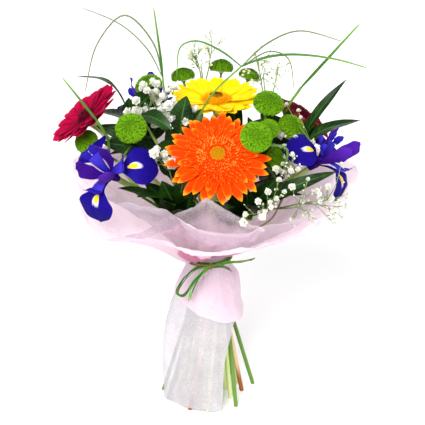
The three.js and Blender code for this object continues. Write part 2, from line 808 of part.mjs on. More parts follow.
const BREATHS = [
  {
    name: "top_left",
    seed: 11,
    top: V(-40, 2, 316),
    forks: [V(-54, -8, 336), V(-34, -4, 344), V(-70, 4, 338)],
    groups: [{ middle: V(-48, -4, 354), spread: V(42, 26, 22), count: 20, radius: 4 }],
  },
  {
    name: "mid_left",
    seed: 12,
    top: V(-40, -44, 292),
    forks: [V(-48, -60, 308), V(-38, -50, 316)],
    groups: [{ middle: V(-46, -62, 324), spread: V(20, 18, 16), count: 9, radius: 3.8 }],
  },
  {
    name: "top",
    seed: 13,
    top: V(-6, 90, 332),
    forks: [V(-14, 86, 378), V(4, 88, 384), V(-8, 84, 366)],
    groups: [{ middle: V(-2, 82, 394), spread: V(28, 18, 24), count: 11, radius: 2 }],
  },
  {
    name: "top_right",
    seed: 14,
    top: V(62, 42, 316),
    forks: [V(60, 46, 368), V(76, 44, 376), V(54, 50, 382)],
    groups: [{ middle: V(68, 46, 384), spread: V(28, 18, 28), count: 11, radius: 2 }],
  },
  {
    name: "right",
    seed: 15,
    top: V(74, -50, 252),
    forks: [
      V(92, -36, 292),
      V(108, -26, 318),
      V(86, -56, 286),
      V(96, -80, 268),
      V(124, -76, 274),
      V(62, -90, 268),
    ],
    groups: [
      { middle: V(92, -38, 304), spread: V(26, 34, 28), count: 12, radius: 4 },
      { middle: V(104, -84, 270), spread: V(52, 18, 24), count: 14, radius: 3.2 },
    ],
  },
];

function addBreath({ name, seed, top, forks, groups }) {
  const drawn = random(seed);
  const centred = () => drawn() * 2 - 1;
  const face = V(top.x * 0.004, top.y * 0.004, 1).normalize();
  const spray = [];
  for (const { middle, spread, count, radius } of groups) {
    const full = spray.length + count;
    for (let tries = 0; tries < count * 30 && spray.length < full; tries++) {
      const at = middle.clone().add(V(centred(), centred(), centred()).clampLength(0, 1).multiply(spread));
      const fork = [...forks].sort((a, b) => a.distanceTo(at) - b.distanceTo(at))[0];
      const taken = spray.filter((other) => other.fork === fork).length;
      const from = fork.clone().lerp(top, taken * TWIG_SPACING);
      if (from.distanceTo(at) < radius * 2) continue;
      const grown = sprig(from, at, radius * (0.85 + 0.35 * drawn()));
      const crossed = spray.some((other) => grown.minGap(other.grown, TWIG_R) < TWIG_R / 2);
      if (!crossed && isClear(grown)) spray.push({ fork, grown });
    }
  }
  growStem(`breath_${name}`, MATERIALS.breath, { top, face }, (points) =>
    union([
      plainStem(points, STALK_R, { slim: true }),
      ...forks.map((fork) => tube([top, fork], FORK_RADII, 3)),
      ...spray.map(({ grown }) => grown),
    ]),
  );
}

// The wrap. A sheet's azimuth is 0 at the front and grows to the right.

// A smooth value between hand-set [place, value, ...] rows
function smooth(rows, place, column) {
  const last = rows.length - 1;
  const next = rows.findIndex((row) => row[0] > place);
  const i = next < 0 ? last - 1 : Math.max(next - 1, 0);
  const slope = (k) => {
    const [a, b] = [rows[Math.max(k - 1, 0)], rows[Math.min(k + 1, last)]];
    return (b[column] - a[column]) / (b[0] - a[0]);
  };
  const [a, b] = [rows[i][column], rows[i + 1][column]];
  const wide = rows[i + 1][0] - rows[i][0];
  const t = Math.min(Math.max((place - rows[i][0]) / wide, 0), 1);
  const [m, n] = [slope(i) * wide, slope(i + 1) * wide];
  return a + t * m + t ** 2 * (3 * (b - a) - 2 * m - n) + t ** 3 * (2 * (a - b) + m + n);
}

// Azimuth, radius and height of each sheet's rim, and how slowly its collar rises there at first
const WHITE_RIM = [
  [-180, 122, 276, 1.15],
  [-120, 128, 280, 1.1],
  [-80, 126, 272, 0.85],
  [-60, 126, 275, 0.75],
  [-38, 126, 281, 0.75],
  [-20, 126, 278, 0.9],
  [-10, 127, 275, 1.05],
  [0, 128, 299, 1.1],
  [10, 128, 279, 1.1],
  [19, 127, 259, 1.1],
  [41, 129, 262, 1.1],
  [60, 137, 264, 1.1],
  [80, 138, 270, 1.1],
  [120, 130, 276, 1.15],
  [180, 122, 276, 1.15],
];
const PINK_RIM = [
  [-180, 142, 262, 1.1],
  [-130, 146, 268, 1.1],
  [-92, 147, 279, 0.9],
  [-70, 147, 256, 0.65],
  [-50, 147, 244, 0.6],
  [-30, 150, 256, 0.75],
  [0, 143, 247, 1],
  [20, 148, 248, 1],
  [40, 153, 245, 1],
  [55, 158, 251, 1],
  [72, 165, 259, 1],
  [92, 163, 272, 1],
  [130, 150, 266, 1.1],
  [180, 142, 262, 1.1],
];
// Azimuth and height of each sheet's hem
const WHITE_HEM = [
  [-180, 6],
  [0, 4],
  [180, 8],
];
const PINK_HEM = [
  [-180, 127],
  [-75, 132],
  [-40, 125],
  [0, 115],
  [30, 107],
  [65, 105],
  [100, 118],
  [180, 127],
];
// Height and radius of the skirt below the neck
const SKIRT = [
  [0, 57],
  [35, 54],
  [70, 51],
  [108, 43.5],
  [137, 33],
  [159, 23.2],
  [167, 21.8],
];

// `out` is how far a sheet lies outside the profile at the neck, and `loose` in the skirt. `left`
// and `right` are its side edges, as [height, azimuth], which meet at the back above the skirt.
// `rows` are the heights of its points above its hem, up to where its collar starts.
const SEAM = 179; // the sheets meet at the back, this many degrees from the front
const SHEETS = {
  white: {
    out: 0,
    loose: 0,
    left: [
      [0, -60],
      [60, -80],
      [115, -112],
      [159, -SEAM],
    ],
    right: [
      [0, 14],
      [105, 46],
      [159, SEAM],
    ],
    rows: [60, 110, 134, 147, 159, 167, 181],
    hem: WHITE_HEM,
    rim: WHITE_RIM,
  },
  pink: {
    out: 1.6,
    loose: 3,
    left: [
      [0, -172],
      [159, -SEAM],
    ],
    right: [
      [0, 172],
      [159, SEAM],
    ],
    rows: [147, 159, 169, 179],
    hem: PINK_HEM,
    rim: PINK_RIM,
  },
};
const SLACK_TOP = 159; // the sheets hang loose below this height
const COLLAR_STEPS = [0.1, 0.28, 0.52, 0.77, 1];
const FOLDS = 7;
const FOLD_DEPTH = 3.2;
const AROUND = 24;

function wrapSheet(sheet) {
  const at = (azimuth, radius, z) => V(Math.sin(rad(azimuth)) * radius, -Math.cos(rad(azimuth)) * radius, z);
  const neckR = SKIRT[SKIRT.length - 1][1] + sheet.out;
  const neckTop = sheet.rows[sheet.rows.length - 1];
  const shares = Array.from({ length: AROUND + 1 }, (_, j) => j / AROUND);
  const skirtPoint = (share, z) => {
    const azimuth = lerp(smooth(sheet.left, z, 1), smooth(sheet.right, z, 1), share);
    const slack = Math.min(Math.max((SLACK_TOP - z) / 30, 0), 1);
    const wave = slack * 0.8 * Math.cos(rad(azimuth * 5));
    return at(azimuth, smooth(SKIRT, z, 1) + lerp(sheet.out, sheet.loose, slack) + wave, z);
  };
  const hemZ = (share) => smooth(sheet.hem, lerp(sheet.left[0][1], sheet.right[0][1], share), 1);
  const skirt = [
    shares.map((share) => skirtPoint(share, hemZ(share))),
    ...sheet.rows.map((z) => shares.map((share) => skirtPoint(share, z))),
  ];
  const collar = COLLAR_STEPS.map((level) =>
    shares.map((share) => {
      const azimuth = lerp(-SEAM, SEAM, share);
      const fold = FOLD_DEPTH * level * Math.cos(rad(azimuth * FOLDS));
      const radius = lerp(neckR, smooth(sheet.rim, azimuth, 1), level ** 0.9) + fold;
      const height = lerp(neckTop, smooth(sheet.rim, azimuth, 2), level ** smooth(sheet.rim, azimuth, 3));
      return at(azimuth, radius, height - fold * 0.6);
    }),
  );
  return slab([...skirt, ...collar], WRAP_T);
}

// The ties. The twine holds the stems, and the raffia holds the wrap over it.
const TWINE = { inner: 19.9, outer: 20.8, low: 167, high: 175, sides: 16 };
const BAND = { inner: 24.7, outer: 27, low: 169, high: 176, sides: 20 };

const ring = ({ inner, outer, low, high, sides }) =>
  turned([[inner, low], [outer, low], [outer, high], [inner, high], [inner, low]], sides);

const RAFFIA_R = 1.7;
const KNOT = V(2, -31.4, 173);
const RAFFIA_WAYS = [
  [KNOT, V(-12, -33, 172), V(-27, -38, 161), V(-34, -43, 147), V(-28, -44, 143), V(-15, -38, 161), KNOT],
  [KNOT, V(-9, -38, 164), V(-18, -44, 150), V(-21, -48, 138)],
  [KNOT, V(20, -31, 178), V(38, -30, 179), V(54, -30, 184)],
  [KNOT, V(16, -33, 175), V(30, -36, 168)],
];

function raffiaBow() {
  const knot = turned([[0, -4], [3.2, -2.6], [3.8, 0], [3.2, 2.6], [0, 4]], 8).translate(KNOT.toArray());
  const ways = RAFFIA_WAYS.map((way) => {
    const points = new THREE.CatmullRomCurve3(way).getPoints(Math.round(way.length * 1.3));
    return tube(points, points.map(() => RAFFIA_R), 4);
  });
  return union([knot, ...ways]);
}

add("binding_twine", MATERIALS.twine, ring(TWINE));
add("wrap_white", MATERIALS.wrapWhite, wrapSheet(SHEETS.white));
add("wrap_pink", MATERIALS.wrapPink, wrapSheet(SHEETS.pink));
add("raffia_band", MATERIALS.raffia, ring(BAND));
add("raffia_bow", MATERIALS.raffia, raffiaBow());

const gerberas = GERBERAS.map(addGerbera);
for (const iris of IRISES) {
  const spin = spinTowards(iris.face, iris.fall);
  add(`iris_${iris.name}_flower`, MATERIALS.iris, irisFlower(iris), iris.at, iris.face, spin);
}
for (const spray of SPRAYS) spray.heads.forEach((head, index) => addHead(spray, head, index));

gerberas.forEach(addGerberaStem);
for (const { name, at, face, size } of IRISES) {
  const out = face.clone().normalize();
  const top = at.clone().addScaledVector(out, IRIS_BASE * size - JOINT_GAP);
  growStem(`iris_${name}_stem`, MATERIALS.stem, { top, face: out }, (points) =>
    plainStem(points, IRIS_STEM_TOP_R, { end: out }),
  );
}
SPRAYS.forEach(addSprayStem);
LEAFY.forEach(addLeafy);
TUFTS.forEach(addTuft);
for (const { name, top, up, width, points } of SINGLES) {
  addTuft({ name: `single_${name}`, top, up, blades: [{ width, points }] });
}
BREATHS.forEach(addBreath);

export default group;
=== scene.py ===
"""The looks of a hand-tied mixed bouquet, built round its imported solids.

Shapes are written in millimetres, in the frame's axes, and stored in metres. Each point of a piece
carries four values that its material reads: `along` and `across` its own petal, leaf or strand,
`tint`, a draw that is one number for each petal or leaf, and `kind`, which part of a plant it is.
"""

import math

import bpy
import numpy as np
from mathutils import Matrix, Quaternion, Vector, noise


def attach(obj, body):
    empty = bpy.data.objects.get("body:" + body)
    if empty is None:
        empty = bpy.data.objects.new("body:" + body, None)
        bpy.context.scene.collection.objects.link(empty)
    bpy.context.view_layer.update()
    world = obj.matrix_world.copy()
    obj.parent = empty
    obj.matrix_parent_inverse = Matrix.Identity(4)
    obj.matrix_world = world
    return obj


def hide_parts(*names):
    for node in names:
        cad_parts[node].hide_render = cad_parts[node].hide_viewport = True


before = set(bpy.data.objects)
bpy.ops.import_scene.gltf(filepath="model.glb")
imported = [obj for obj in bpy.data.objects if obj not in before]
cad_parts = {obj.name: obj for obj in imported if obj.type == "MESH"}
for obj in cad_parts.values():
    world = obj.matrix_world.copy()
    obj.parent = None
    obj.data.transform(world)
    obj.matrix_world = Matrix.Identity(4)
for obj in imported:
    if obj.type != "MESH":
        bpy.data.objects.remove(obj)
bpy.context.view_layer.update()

MM = 0.001
TAU = 2 * math.pi
GOLDEN = 2.39996  # the angle from one floret of a spiral to the next
# the first seed of each kind of draw, to which a piece's own number is added
SEED = {"iris": 20, "florets": 50, "ties": 70, "head": 100, "spray": 300, "leaves": 400, "breath": 500}

# Geometry helpers


def vec(*xyz):
    return np.array(xyz, float)


def unit(v):
    v = np.asarray(v, float)
    return v / np.maximum(np.linalg.norm(v, axis=-1, keepdims=True), 1e-9)


def smoothstep(x):
    x = np.clip(x, 0, 1)
    return x * x * (3 - 2 * x)


def heading(points):
    """The way that a line runs at each of its points."""
    return unit(np.gradient(points, axis=0))


def polar(radius, angle, up):
    """Points at a radius from the Z axis, at an angle round it and at a height."""
    return np.stack(np.broadcast_arrays(radius * np.cos(angle), radius * np.sin(angle), up), axis=-1)


def tangent(angle):
    """The level direction square to the one at an angle round Z."""
    return np.stack([-np.sin(angle), np.cos(angle), 0 * angle], axis=-1)


def turn_to(face, spin=0.0):
    """The matrix that turns a flower's own +Z to `face`, after a spin about it."""
    q = Vector((0, 0, 1)).rotation_difference(Vector(face)) @ Quaternion((0, 0, 1), math.radians(spin))
    return np.array(q.to_matrix())


def spin_towards(face, direction):
    """The spin that brings a flower's own +X over a direction."""
    local = Vector((0, 0, 1)).rotation_difference(Vector(face)).inverted() @ Vector(direction)
    return math.degrees(math.atan2(local.y, local.x))


class Shape:
    """The points, faces and values of one piece, gathered bit by bit."""

    def __init__(self):
        self.points = []
        self.faces = []
        self.values = []
        self.size = 0

    def add(self, points, faces, along=0.0, across=0.0, tint=0.5, kind=0.0):
        points = np.asarray(points, float).reshape(-1, 3)
        n = len(points)
        given = (along, across, tint, kind)
        self.values.append(np.stack([np.broadcast_to(np.ravel(x), n) for x in given], axis=1))
        self.points.append(points)
        self.faces += [[i + self.size for i in face] for face in faces]
        self.size += n

    def grid(self, points, tint=0.5, kind=0.0, along=(0, 1), around=False):
        """A sheet of rows by columns of points, closed round its columns if `around`."""
        rows, cols = points.shape[:2]
        faces = [
            [i * cols + j, i * cols + (j + 1) % cols, (i + 1) * cols + (j + 1) % cols, (i + 1) * cols + j]
            for i in range(rows - 1)
            for j in range(cols if around else cols - 1)
        ]
        u, v = np.meshgrid(np.linspace(*along, rows), np.linspace(-1, 1, cols), indexing="ij")
        self.add(points, faces, u, v, tint, kind)

    def place(self, matrix, at, start=0):
        """Turns and moves the blocks added since block `start`."""
        for k in range(start, len(self.points)):
            self.points[k] = self.points[k] @ matrix.T + at


def make(name, shape, material, slot, *nodes):
    """The piece in the scene, standing for its CAD nodes."""
    mesh = bpy.data.meshes.new(name)
    points = np.concatenate(shape.points) * MM
    mesh.from_pydata(points.tolist(), [], shape.faces)
    values = np.concatenate(shape.values).astype(np.float32)
    for k, attribute in enumerate(("along", "across", "tint", "kind")):
        mesh.attributes.new(attribute, "FLOAT", "POINT").data.foreach_set("value", values[:, k].copy())
    mesh.shade_smooth()
    mesh.materials.append(material)
    piece = bpy.data.objects.new(name, mesh)
    bpy.context.scene.collection.objects.link(piece)
    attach(piece, "root")
    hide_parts(*nodes)
    return piece


def along_curve(points, count):
    """Points along a centripetal Catmull-Rom curve through `points`, even in its parameter."""
    p = [np.asarray(q, float) for q in points]
    p = [2 * p[0] - p[1], *p, 2 * p[-1] - p[-2]]
    spans = len(points) - 1
    made = []
    for t in np.linspace(0, spans, count):
        i = min(int(t), spans - 1)
        w = t - i
        a, b, c, d = p[i : i + 4]
        gaps = [max(np.linalg.norm(y - x) ** 0.5, 1e-4) for x, y in ((a, b), (b, c), (c, d))]
        m1 = ((b - a) / gaps[0] - (c - a) / (gaps[0] + gaps[1]) + (c - b) / gaps[1]) * gaps[1]
        m2 = ((c - b) / gaps[1] - (d - b) / (gaps[1] + gaps[2]) + (d - c) / gaps[2]) * gaps[1]
        h = 2 * b - 2 * c + m1 + m2
        k = -3 * b + 3 * c - 2 * m1 - m2
        made.append(h * w**3 + k * w**2 + m1 * w + b)
    return np.array(made)


def bezier(a, b, c, d, count):
    t = np.linspace(0, 1, count)[:, None]
    return a * (1 - t) ** 3 + 3 * b * t * (1 - t) ** 2 + 3 * c * t**2 * (1 - t) + d * t**3


def even(points, step):
    """The same line with points about `step` apart."""
    gaps = np.linalg.norm(np.diff(points, axis=0), axis=1)
    far = np.concatenate([[0], np.cumsum(gaps)])
    at = np.linspace(0, far[-1], max(3, int(far[-1] / step) + 2))
    return np.stack([np.interp(at, far, points[:, k]) for k in range(3)], axis=1)


def frames(points, across=(1, 0, 0)):
    """Unit vectors along a line, across it and square to both, carried along without twist."""
    along = unit(np.gradient(points, axis=0))
    side = np.zeros_like(points)
    last = np.asarray(across, float)
    for i, a in enumerate(along):
        last = last - a * (last @ a)
        if np.linalg.norm(last) < 1e-6:
            last = np.cross(a, (0.3, 0.5, 0.8))
        last = last / np.linalg.norm(last)
        side[i] = last
    return along, side, np.cross(along, side)


def tube(shape, points, radii, sides=8, tint=0.5, kind=0.0, caps=True, cap_kind=None, level=0):
    """A round stem along a line. Its first `level` rings are horizontal."""
    points = np.asarray(points, float)
    radii = np.broadcast_to(radii, len(points))
    along, a, b = frames(points)
    a[:level], b[:level] = (1, 0, 0), (0, 1, 0)
    angle = np.arange(sides) / sides * TAU
    ring = a[:, None] * np.cos(angle)[None, :, None] + b[:, None] * np.sin(angle)[None, :, None]
    skin = points[:, None] + ring * radii[:, None, None]
    shape.grid(skin, tint, kind, around=True)
    if caps:
        for row, end, order in ((0, 0.0, -1), (-1, 1.0, 1)):
            face = list(range(sides))[::order]
            shape.add(skin[row], [face], end, 0, tint, kind if cap_kind is None else cap_kind)


def ribbon(shape, middle, side, normal, half, lift, tint, kind, cols):
    """A blade about a line: `half` is its half width at each point, `lift` its height over the line."""
    s = np.linspace(-1, 1, cols)
    side = np.broadcast_to(side, middle.shape)[:, None]
    normal = np.broadcast_to(normal, middle.shape)[:, None]
    lift = np.broadcast_to(lift, (len(middle), cols))[..., None]
    shape.grid(middle[:, None] + side * (half[:, None] * s)[..., None] + normal * lift, tint, kind)


# Materials


def linear(hexa):
    parts = [((hexa >> s) & 255) / 255 for s in (16, 8, 0)]
    return tuple(x / 12.92 if x <= 0.04045 else ((x + 0.055) / 1.055) ** 2.4 for x in parts) + (1.0,)


class Look:
    """A node material, built from a few calls that return sockets. Its mixes take 0xRRGGBB too."""

    def __init__(self, name):
        self.material = bpy.data.materials.new(name)
        self.material.use_nodes = True
        self.tree = self.material.node_tree
        self.tree.nodes.clear()

    def node(self, kind, settings=(), **sockets):
        made = self.tree.nodes.new(kind)
        for key, value in dict(settings).items():
            setattr(made, key, value)
        for key, value in sockets.items():
            self.plug(made.inputs[key.replace("_", " ")], value)
        return made

    def plug(self, socket, value):
        if isinstance(value, bpy.types.NodeSocket):
            self.tree.links.new(value, socket)
        else:
            socket.default_value = value

    def attributes(self, *names):
        made = [self.node("ShaderNodeAttribute", {"attribute_name": name}) for name in names]
        return [node.outputs["Fac"] for node in made]

    def math(self, operation, a, b=0.0, clamp=False):
        made = self.node("ShaderNodeMath", {"operation": operation, "use_clamp": clamp})
        self.plug(made.inputs[0], a)
        self.plug(made.inputs[1], b)
        return made.outputs[0]

    def times(self, a, b, clamp=False):
        return self.math("MULTIPLY", a, b, clamp)

    def plus(self, a, b, clamp=False):
        return self.math("ADD", a, b, clamp)

    def mix(self, share, a, b):
        made = self.node("ShaderNodeMix", {"data_type": "RGBA"})
        self.plug(made.inputs[0], share)
        for socket, colour in ((made.inputs[6], a), (made.inputs[7], b)):
            self.plug(socket, linear(colour) if isinstance(colour, int) else colour)
        return made.outputs[2]

    def ramp(self, value, low, high, to_low=0.0, to_high=1.0):
        made = self.node("ShaderNodeMapRange", {"interpolation_type": "SMOOTHSTEP"})
        for socket, x in zip(made.inputs, (value, low, high, to_low, to_high)):
            self.plug(socket, x)
        return made.outputs[0]

    def fade(self, value, low, high, a, b, to_low=0.0, to_high=1.0):
        """Colour a under colour b, whose share goes from `to_low` to `to_high` as the value rises."""
        return self.mix(self.ramp(value, low, high, to_low, to_high), a, b)

    def noise(self, scale, detail=3.0, roughness=0.55, vector=None):
        if vector is None:
            vector = self.node("ShaderNodeTexCoord").outputs["Object"]
        made = self.node("ShaderNodeTexNoise", Scale=scale, Detail=detail, Roughness=roughness)
        self.plug(made.inputs["Vector"], vector)
        return made.outputs["Fac"]

    def streaks(self, detail, long, wide):
        """Noise that runs along a petal or strand, another one for each tint."""
        made = self.node("ShaderNodeCombineXYZ")
        values = self.attributes("along", "across", "tint")
        for socket, value, scale in zip(made.inputs, values, (long, wide, 37.0)):
            self.plug(socket, self.times(value, scale))
        return self.noise(1.0, detail, vector=made.outputs[0])

    def bump(self, height, strength, distance):
        return self.node("ShaderNodeBump", Height=height, Strength=strength, Distance=distance).outputs[0]

    def blend(self, share, a, b):
        made = self.node("ShaderNodeMixShader")
        for socket, value in zip(made.inputs, (share, a, b)):
            self.plug(socket, value)
        return made.outputs[0]

    def finish(self, colour, roughness, normal=None, through=0.0, clear=None, specular=0.35):
        """Ends in a surface, with a share of light let through and a share left clear."""
        body = self.node("ShaderNodeBsdfPrincipled", Base_Color=colour, Roughness=roughness)
        body.inputs["Specular IOR Level"].default_value = specular
        if normal is not None:
            self.plug(body.inputs["Normal"], normal)
        out = body.outputs[0]
        if through:
            out = self.blend(through, out, self.node("ShaderNodeBsdfTranslucent", Color=colour).outputs[0])
        if clear is not None:
            out = self.blend(clear, out, self.node("ShaderNodeBsdfTransparent").outputs[0])
        self.plug(self.node("ShaderNodeOutputMaterial").inputs[0], out)
        return self.material


def petal_look(name, base, middle, tip, shade, sides=0.0):
    """A petal: a dark base, a tip of its own colour, fine veins along it and dark sides, painted shade
    where petals overlap.
    """
    look = Look(name)
    along, across, tint = look.attributes("along", "across", "tint")
    side = look.math("ABSOLUTE", across)
    colour = look.fade(along, 0.0, 0.45, base, middle)
    edge = look.times(look.ramp(side, 0.6, 1.0, 0.0, 0.3), look.ramp(along, 0.5, 0.9))
    bright = look.plus(look.ramp(along, 0.84, 1.0), edge, clamp=True)
    colour = look.mix(bright, colour, tip)
    veins = look.streaks(2.0, 1.5, 7.0)
    colour = look.fade(veins, 0.42, 0.62, colour, shade, 0.0, 0.5)
    # painted shade: a petal's sides darken towards its base colour where it lies under its neighbours, by
    # the share `sides`
    side_shade = look.times(look.ramp(side, 0.55, 1.0, 0.0, sides), look.ramp(along, 0.75, 1.0, 1.0, 0.3))
    colour = look.mix(side_shade, colour, base)
    colour = look.fade(tint, 0.5, 1.0, colour, shade, 0.0, 0.25)
    return look.finish(colour, 0.55, look.bump(veins, 0.45, 0.0006), through=0.2, specular=0.04)


def floret_look(name, short, short_tip, spike, eye):
    """The middle of a gerbera: kind 0 is a short petal, 0.5 a spike and 1 the eye."""
    look = Look(name)
    along, kind = look.attributes("along", "kind")
    colour = look.fade(along, 0.35, 1.0, short, short_tip)
    colour = look.fade(kind, 0.2, 0.4, colour, spike)
    colour = look.fade(kind, 0.7, 0.9, colour, eye)
    grain = look.noise(900.0, 2.0)
    low = look.times(look.ramp(grain, 0.4, 0.7), look.ramp(kind, 0.2, 0.9, 0.3, 0.0))
    colour = look.mix(low, colour, short)
    return look.finish(colour, 0.7, look.bump(grain, 0.4, 0.0003), through=0.12, specular=0.05)


def iris_look():
    """kind 0 is a fall with its yellow flash, 0.5 a style arm and 1 a standard."""
    look = Look("iris_petal")
    along, across, kind = look.attributes("along", "across", "kind")
    veins = look.streaks(3.0, 1.2, 9.0)
    fall = look.fade(along, 0.3, 0.95, 0x1A0A7C, 0x120468)
    # the flash: a long drop on the blade, white at its edge, then yellow
    wide = look.math("POWER", look.times(look.math("ABSOLUTE", across), 0.72), 2.0)
    ripple = look.times(look.plus(veins, -0.5), 0.12)
    flash = ((0.49, 0.11, 0.165, 0.85, 0xDCD4F0), (0.45, 0.09, 0.135, 1.0, 0xFFD21E))
    for centre, near, reach, share, shade in flash:
        off = look.math("POWER", look.plus(along, -centre), 2.0)
        far = look.plus(look.math("SQRT", look.plus(off, wide)), ripple)
        fall = look.fade(far, near, reach, fall, shade, share, 0.0)
    style = look.fade(along, 0.1, 0.9, 0x241692, 0x3C30B4)
    standard = look.fade(along, 0.2, 1.0, 0x360E7C, 0x50209C)
    colour = look.fade(kind, 0.2, 0.3, fall, style)
    colour = look.fade(kind, 0.7, 0.8, colour, standard)
    dark = look.times(look.ramp(veins, 0.45, 0.65, 0.0, 0.4), look.ramp(far, 0.1, 0.2))
    colour = look.mix(dark, colour, 0x1C0A78)
    return look.finish(colour, 0.6, look.bump(veins, 0.35, 0.0005), through=0.1, specular=0.05)


def button_look():
    """Small petals, darker at their base as painted shade, each a little paler by its tint."""
    look = Look("button_green")
    along, tint = look.attributes("along", "tint")
    # painted shade: each petal is darker towards its base, where it lies under the others
    colour = look.fade(along, 0.0, 0.85, 0x2A5206, 0x5E960E)
    colour = look.mix(look.times(tint, 0.4), colour, 0x90C01C)
    return look.finish(colour, 0.6, through=0.1, specular=0.05)


def breath_look():
    """kind 0 is a twig and 1 a floret, whose tint runs from white to cream."""
    look = Look("breath")
    along, tint, kind = look.attributes("along", "tint", "kind")
    white = look.fade(tint, 0.5, 1.0, 0xF4F4EC, 0xDCE2B4)
    white = look.fade(along, 0.0, 0.5, white, 0xA4B87A, 0.5, 0.0)
    twig = look.mix(along, 0x6E9A3E, 0xA9B86E)
    return look.finish(look.fade(kind, 0.4, 0.6, twig, white), 0.8, through=0.3)


def leaf_look():
    """A leafy stem: kind 0 is a green stem, 0.5 a woody one, 0.8 a cut end and 1 a blade."""
    look = Look("leaf")
    along, across, tint, kind = look.attributes("along", "across", "tint", "kind")
    mottle = look.noise(60.0, 4.0)
    colour = look.fade(mottle, 0.35, 0.7, 0x0A1E04, 0x1F4410)
    colour = look.mix(look.times(tint, 0.35), colour, 0x1F4410)
    side = look.math("ABSOLUTE", across)
    # side veins leave the rib at a slant
    slant = look.math("SUBTRACT", look.times(along, 62.0), look.times(side, 9.0))
    veins = look.ramp(look.math("SINE", slant), 0.86, 1.0)
    rib = look.ramp(side, 0.03, 0.1, 1.0, 0.0)
    colour = look.mix(look.times(veins, 0.22), colour, 0x4A7832)
    colour = look.mix(look.times(rib, 0.55), colour, 0x4A7832)
    stem = look.fade(mottle, 0.35, 0.7, 0x9CC44C, 0xD0DC90)
    woody = look.fade(along, 0.02, 0.06, 0xA05C26, 0xE8CC9C)
    stem = look.fade(kind, 0.3, 0.4, stem, woody)
    stem = look.fade(kind, 0.7, 0.75, stem, 0xD9D9A6)
    colour = look.fade(kind, 0.9, 0.95, stem, colour)
    height = look.math("SUBTRACT", look.times(veins, 0.5), rib)
    height = look.plus(height, look.times(mottle, 0.4))
    return look.finish(colour, 0.36, look.bump(height, 0.5, 0.0005), through=0.12, specular=0.2)


def stem_look():
    """kind 0 is a green stem and 1 its cut end; tint makes it paler, and -1 dark."""
    look = Look("stem")
    along, tint, kind = look.attributes("along", "tint", "kind")
    ribs = look.streaks(2.0, 2.0, 5.0)
    colour = look.mix(tint, 0xA4C850, 0xF0F4B8)
    colour = look.fade(tint, -0.9, -0.2, 0x567A2C, colour)
    colour = look.fade(ribs, 0.4, 0.65, colour, 0x6C9C34, 0.0, 0.22)
    colour = look.fade(along, 0.0, 0.08, colour, 0xD2DC9C, 0.5, 0.0)
    colour = look.fade(kind, 0.4, 0.6, colour, 0xDDE2B4)
    return look.finish(colour, 0.5, look.bump(ribs, 0.4, 0.0004), through=0.05, specular=0.45)


def grass_look():
    """kind 0 is a blade, greyer with its tint, and 0.5 the stem, which is pale low down."""
    look = Look("grass")
    along, tint, kind = look.attributes("along", "tint", "kind")
    ribs = look.streaks(2.0, 2.0, 6.0)
    colour = look.fade(along, 0.3, 1.0, 0x3C6C1E, 0x6C9A30)
    colour = look.fade(tint, 0.4, 1.0, colour, 0x6E7A52)
    low = look.times(look.ramp(kind, 0.2, 0.4), look.ramp(along, 0.15, 0.35, 1.0, 0.0))
    colour = look.mix(low, colour, 0x8EBC34)
    colour = look.fade(ribs, 0.4, 0.7, colour, 0x2E5A1A, 0.0, 0.35)
    return look.finish(colour, 0.45, look.bump(ribs, 0.4, 0.0003), through=0.12)


def wrap_look(name, base, deep, pale, clear_skirt, clear_collar):
    """Thin non-woven sheet: tangled fibres, let through more light where they are few. kind is 0 on
    the skirt and 1 on the collar, which has a colour of its own as painted light; tint is 1 on the corner
    that stands alone, greyed as painted shade, and 0 in the pocket, painted deeper pink with painted shade."""
    look = Look(name)
    along, tint, kind = look.attributes("along", "tint", "kind")
    fibres = look.noise(700.0, 6.0, 0.75)
    cloud = look.noise(45.0, 3.0, 0.6)
    few = look.plus(look.times(fibres, 0.35), look.times(cloud, 0.65))
    colour = look.fade(few, 0.3, 0.7, deep, base)
    # painted light: the collar gets a colour of its own, much paler than the skirt on the white sheet,
    # against the shade it lies in
    colour = look.fade(kind, 0.3, 0.7, colour, pale, 0.0, 0.8)
    # painted shade, with some deeper pink of the gathered layers, where the folds crowd just above the tie;
    # greyer in the single corner, also painted shade
    low = look.times(look.ramp(along, 0.46, 0.72, 0.22, 0.0), look.ramp(kind, 0.5, 0.9))
    colour = look.mix(low, colour, 0xE2AEC6)
    # the pocket, painted deep pink: a deeper pink for the double sheet, with painted shade in its fold
    colour = look.fade(tint, 0.0, 0.4, colour, 0xD284A4, 1.0, 0.0)
    # painted shade: the corner that stands alone is greyed where its fibres are few, for the dark interior
    # seen through it
    alone = look.ramp(tint, 0.6, 0.95)
    corner_shade = look.times(alone, look.ramp(fibres, 0.35, 0.6, 0.9, 0.3))
    colour = look.mix(corner_shade, colour, 0xB8ACB4)
    thin = look.ramp(kind, 0.35, 0.6, clear_skirt, clear_collar)
    thin = look.plus(thin, look.times(alone, 0.2))
    clear = look.times(thin, look.ramp(fibres, 0.4, 0.65, 1.5, 0.5), clamp=True)
    height = look.plus(fibres, look.times(cloud, 0.8))
    return look.finish(colour, 0.9, look.bump(height, 0.2, 0.0003), through=0.4, clear=clear, specular=0.1)


def strand_look(name, first, second, third, roughness):
    """Raffia or twine: each strand has one of three colours by its tint, streaked along it."""
    look = Look(name)
    (tint,) = look.attributes("tint")
    streaks = look.streaks(3.0, 6.0, 3.0)
    colour = look.fade(tint, 0.3, 0.36, first, second)
    colour = look.fade(tint, 0.63, 0.69, colour, third)
    colour = look.fade(streaks, 0.45, 0.6, colour, 0x17380E, 0.0, 0.55)
    return look.finish(colour, roughness, look.bump(streaks, 0.5, 0.0003), through=0.08)


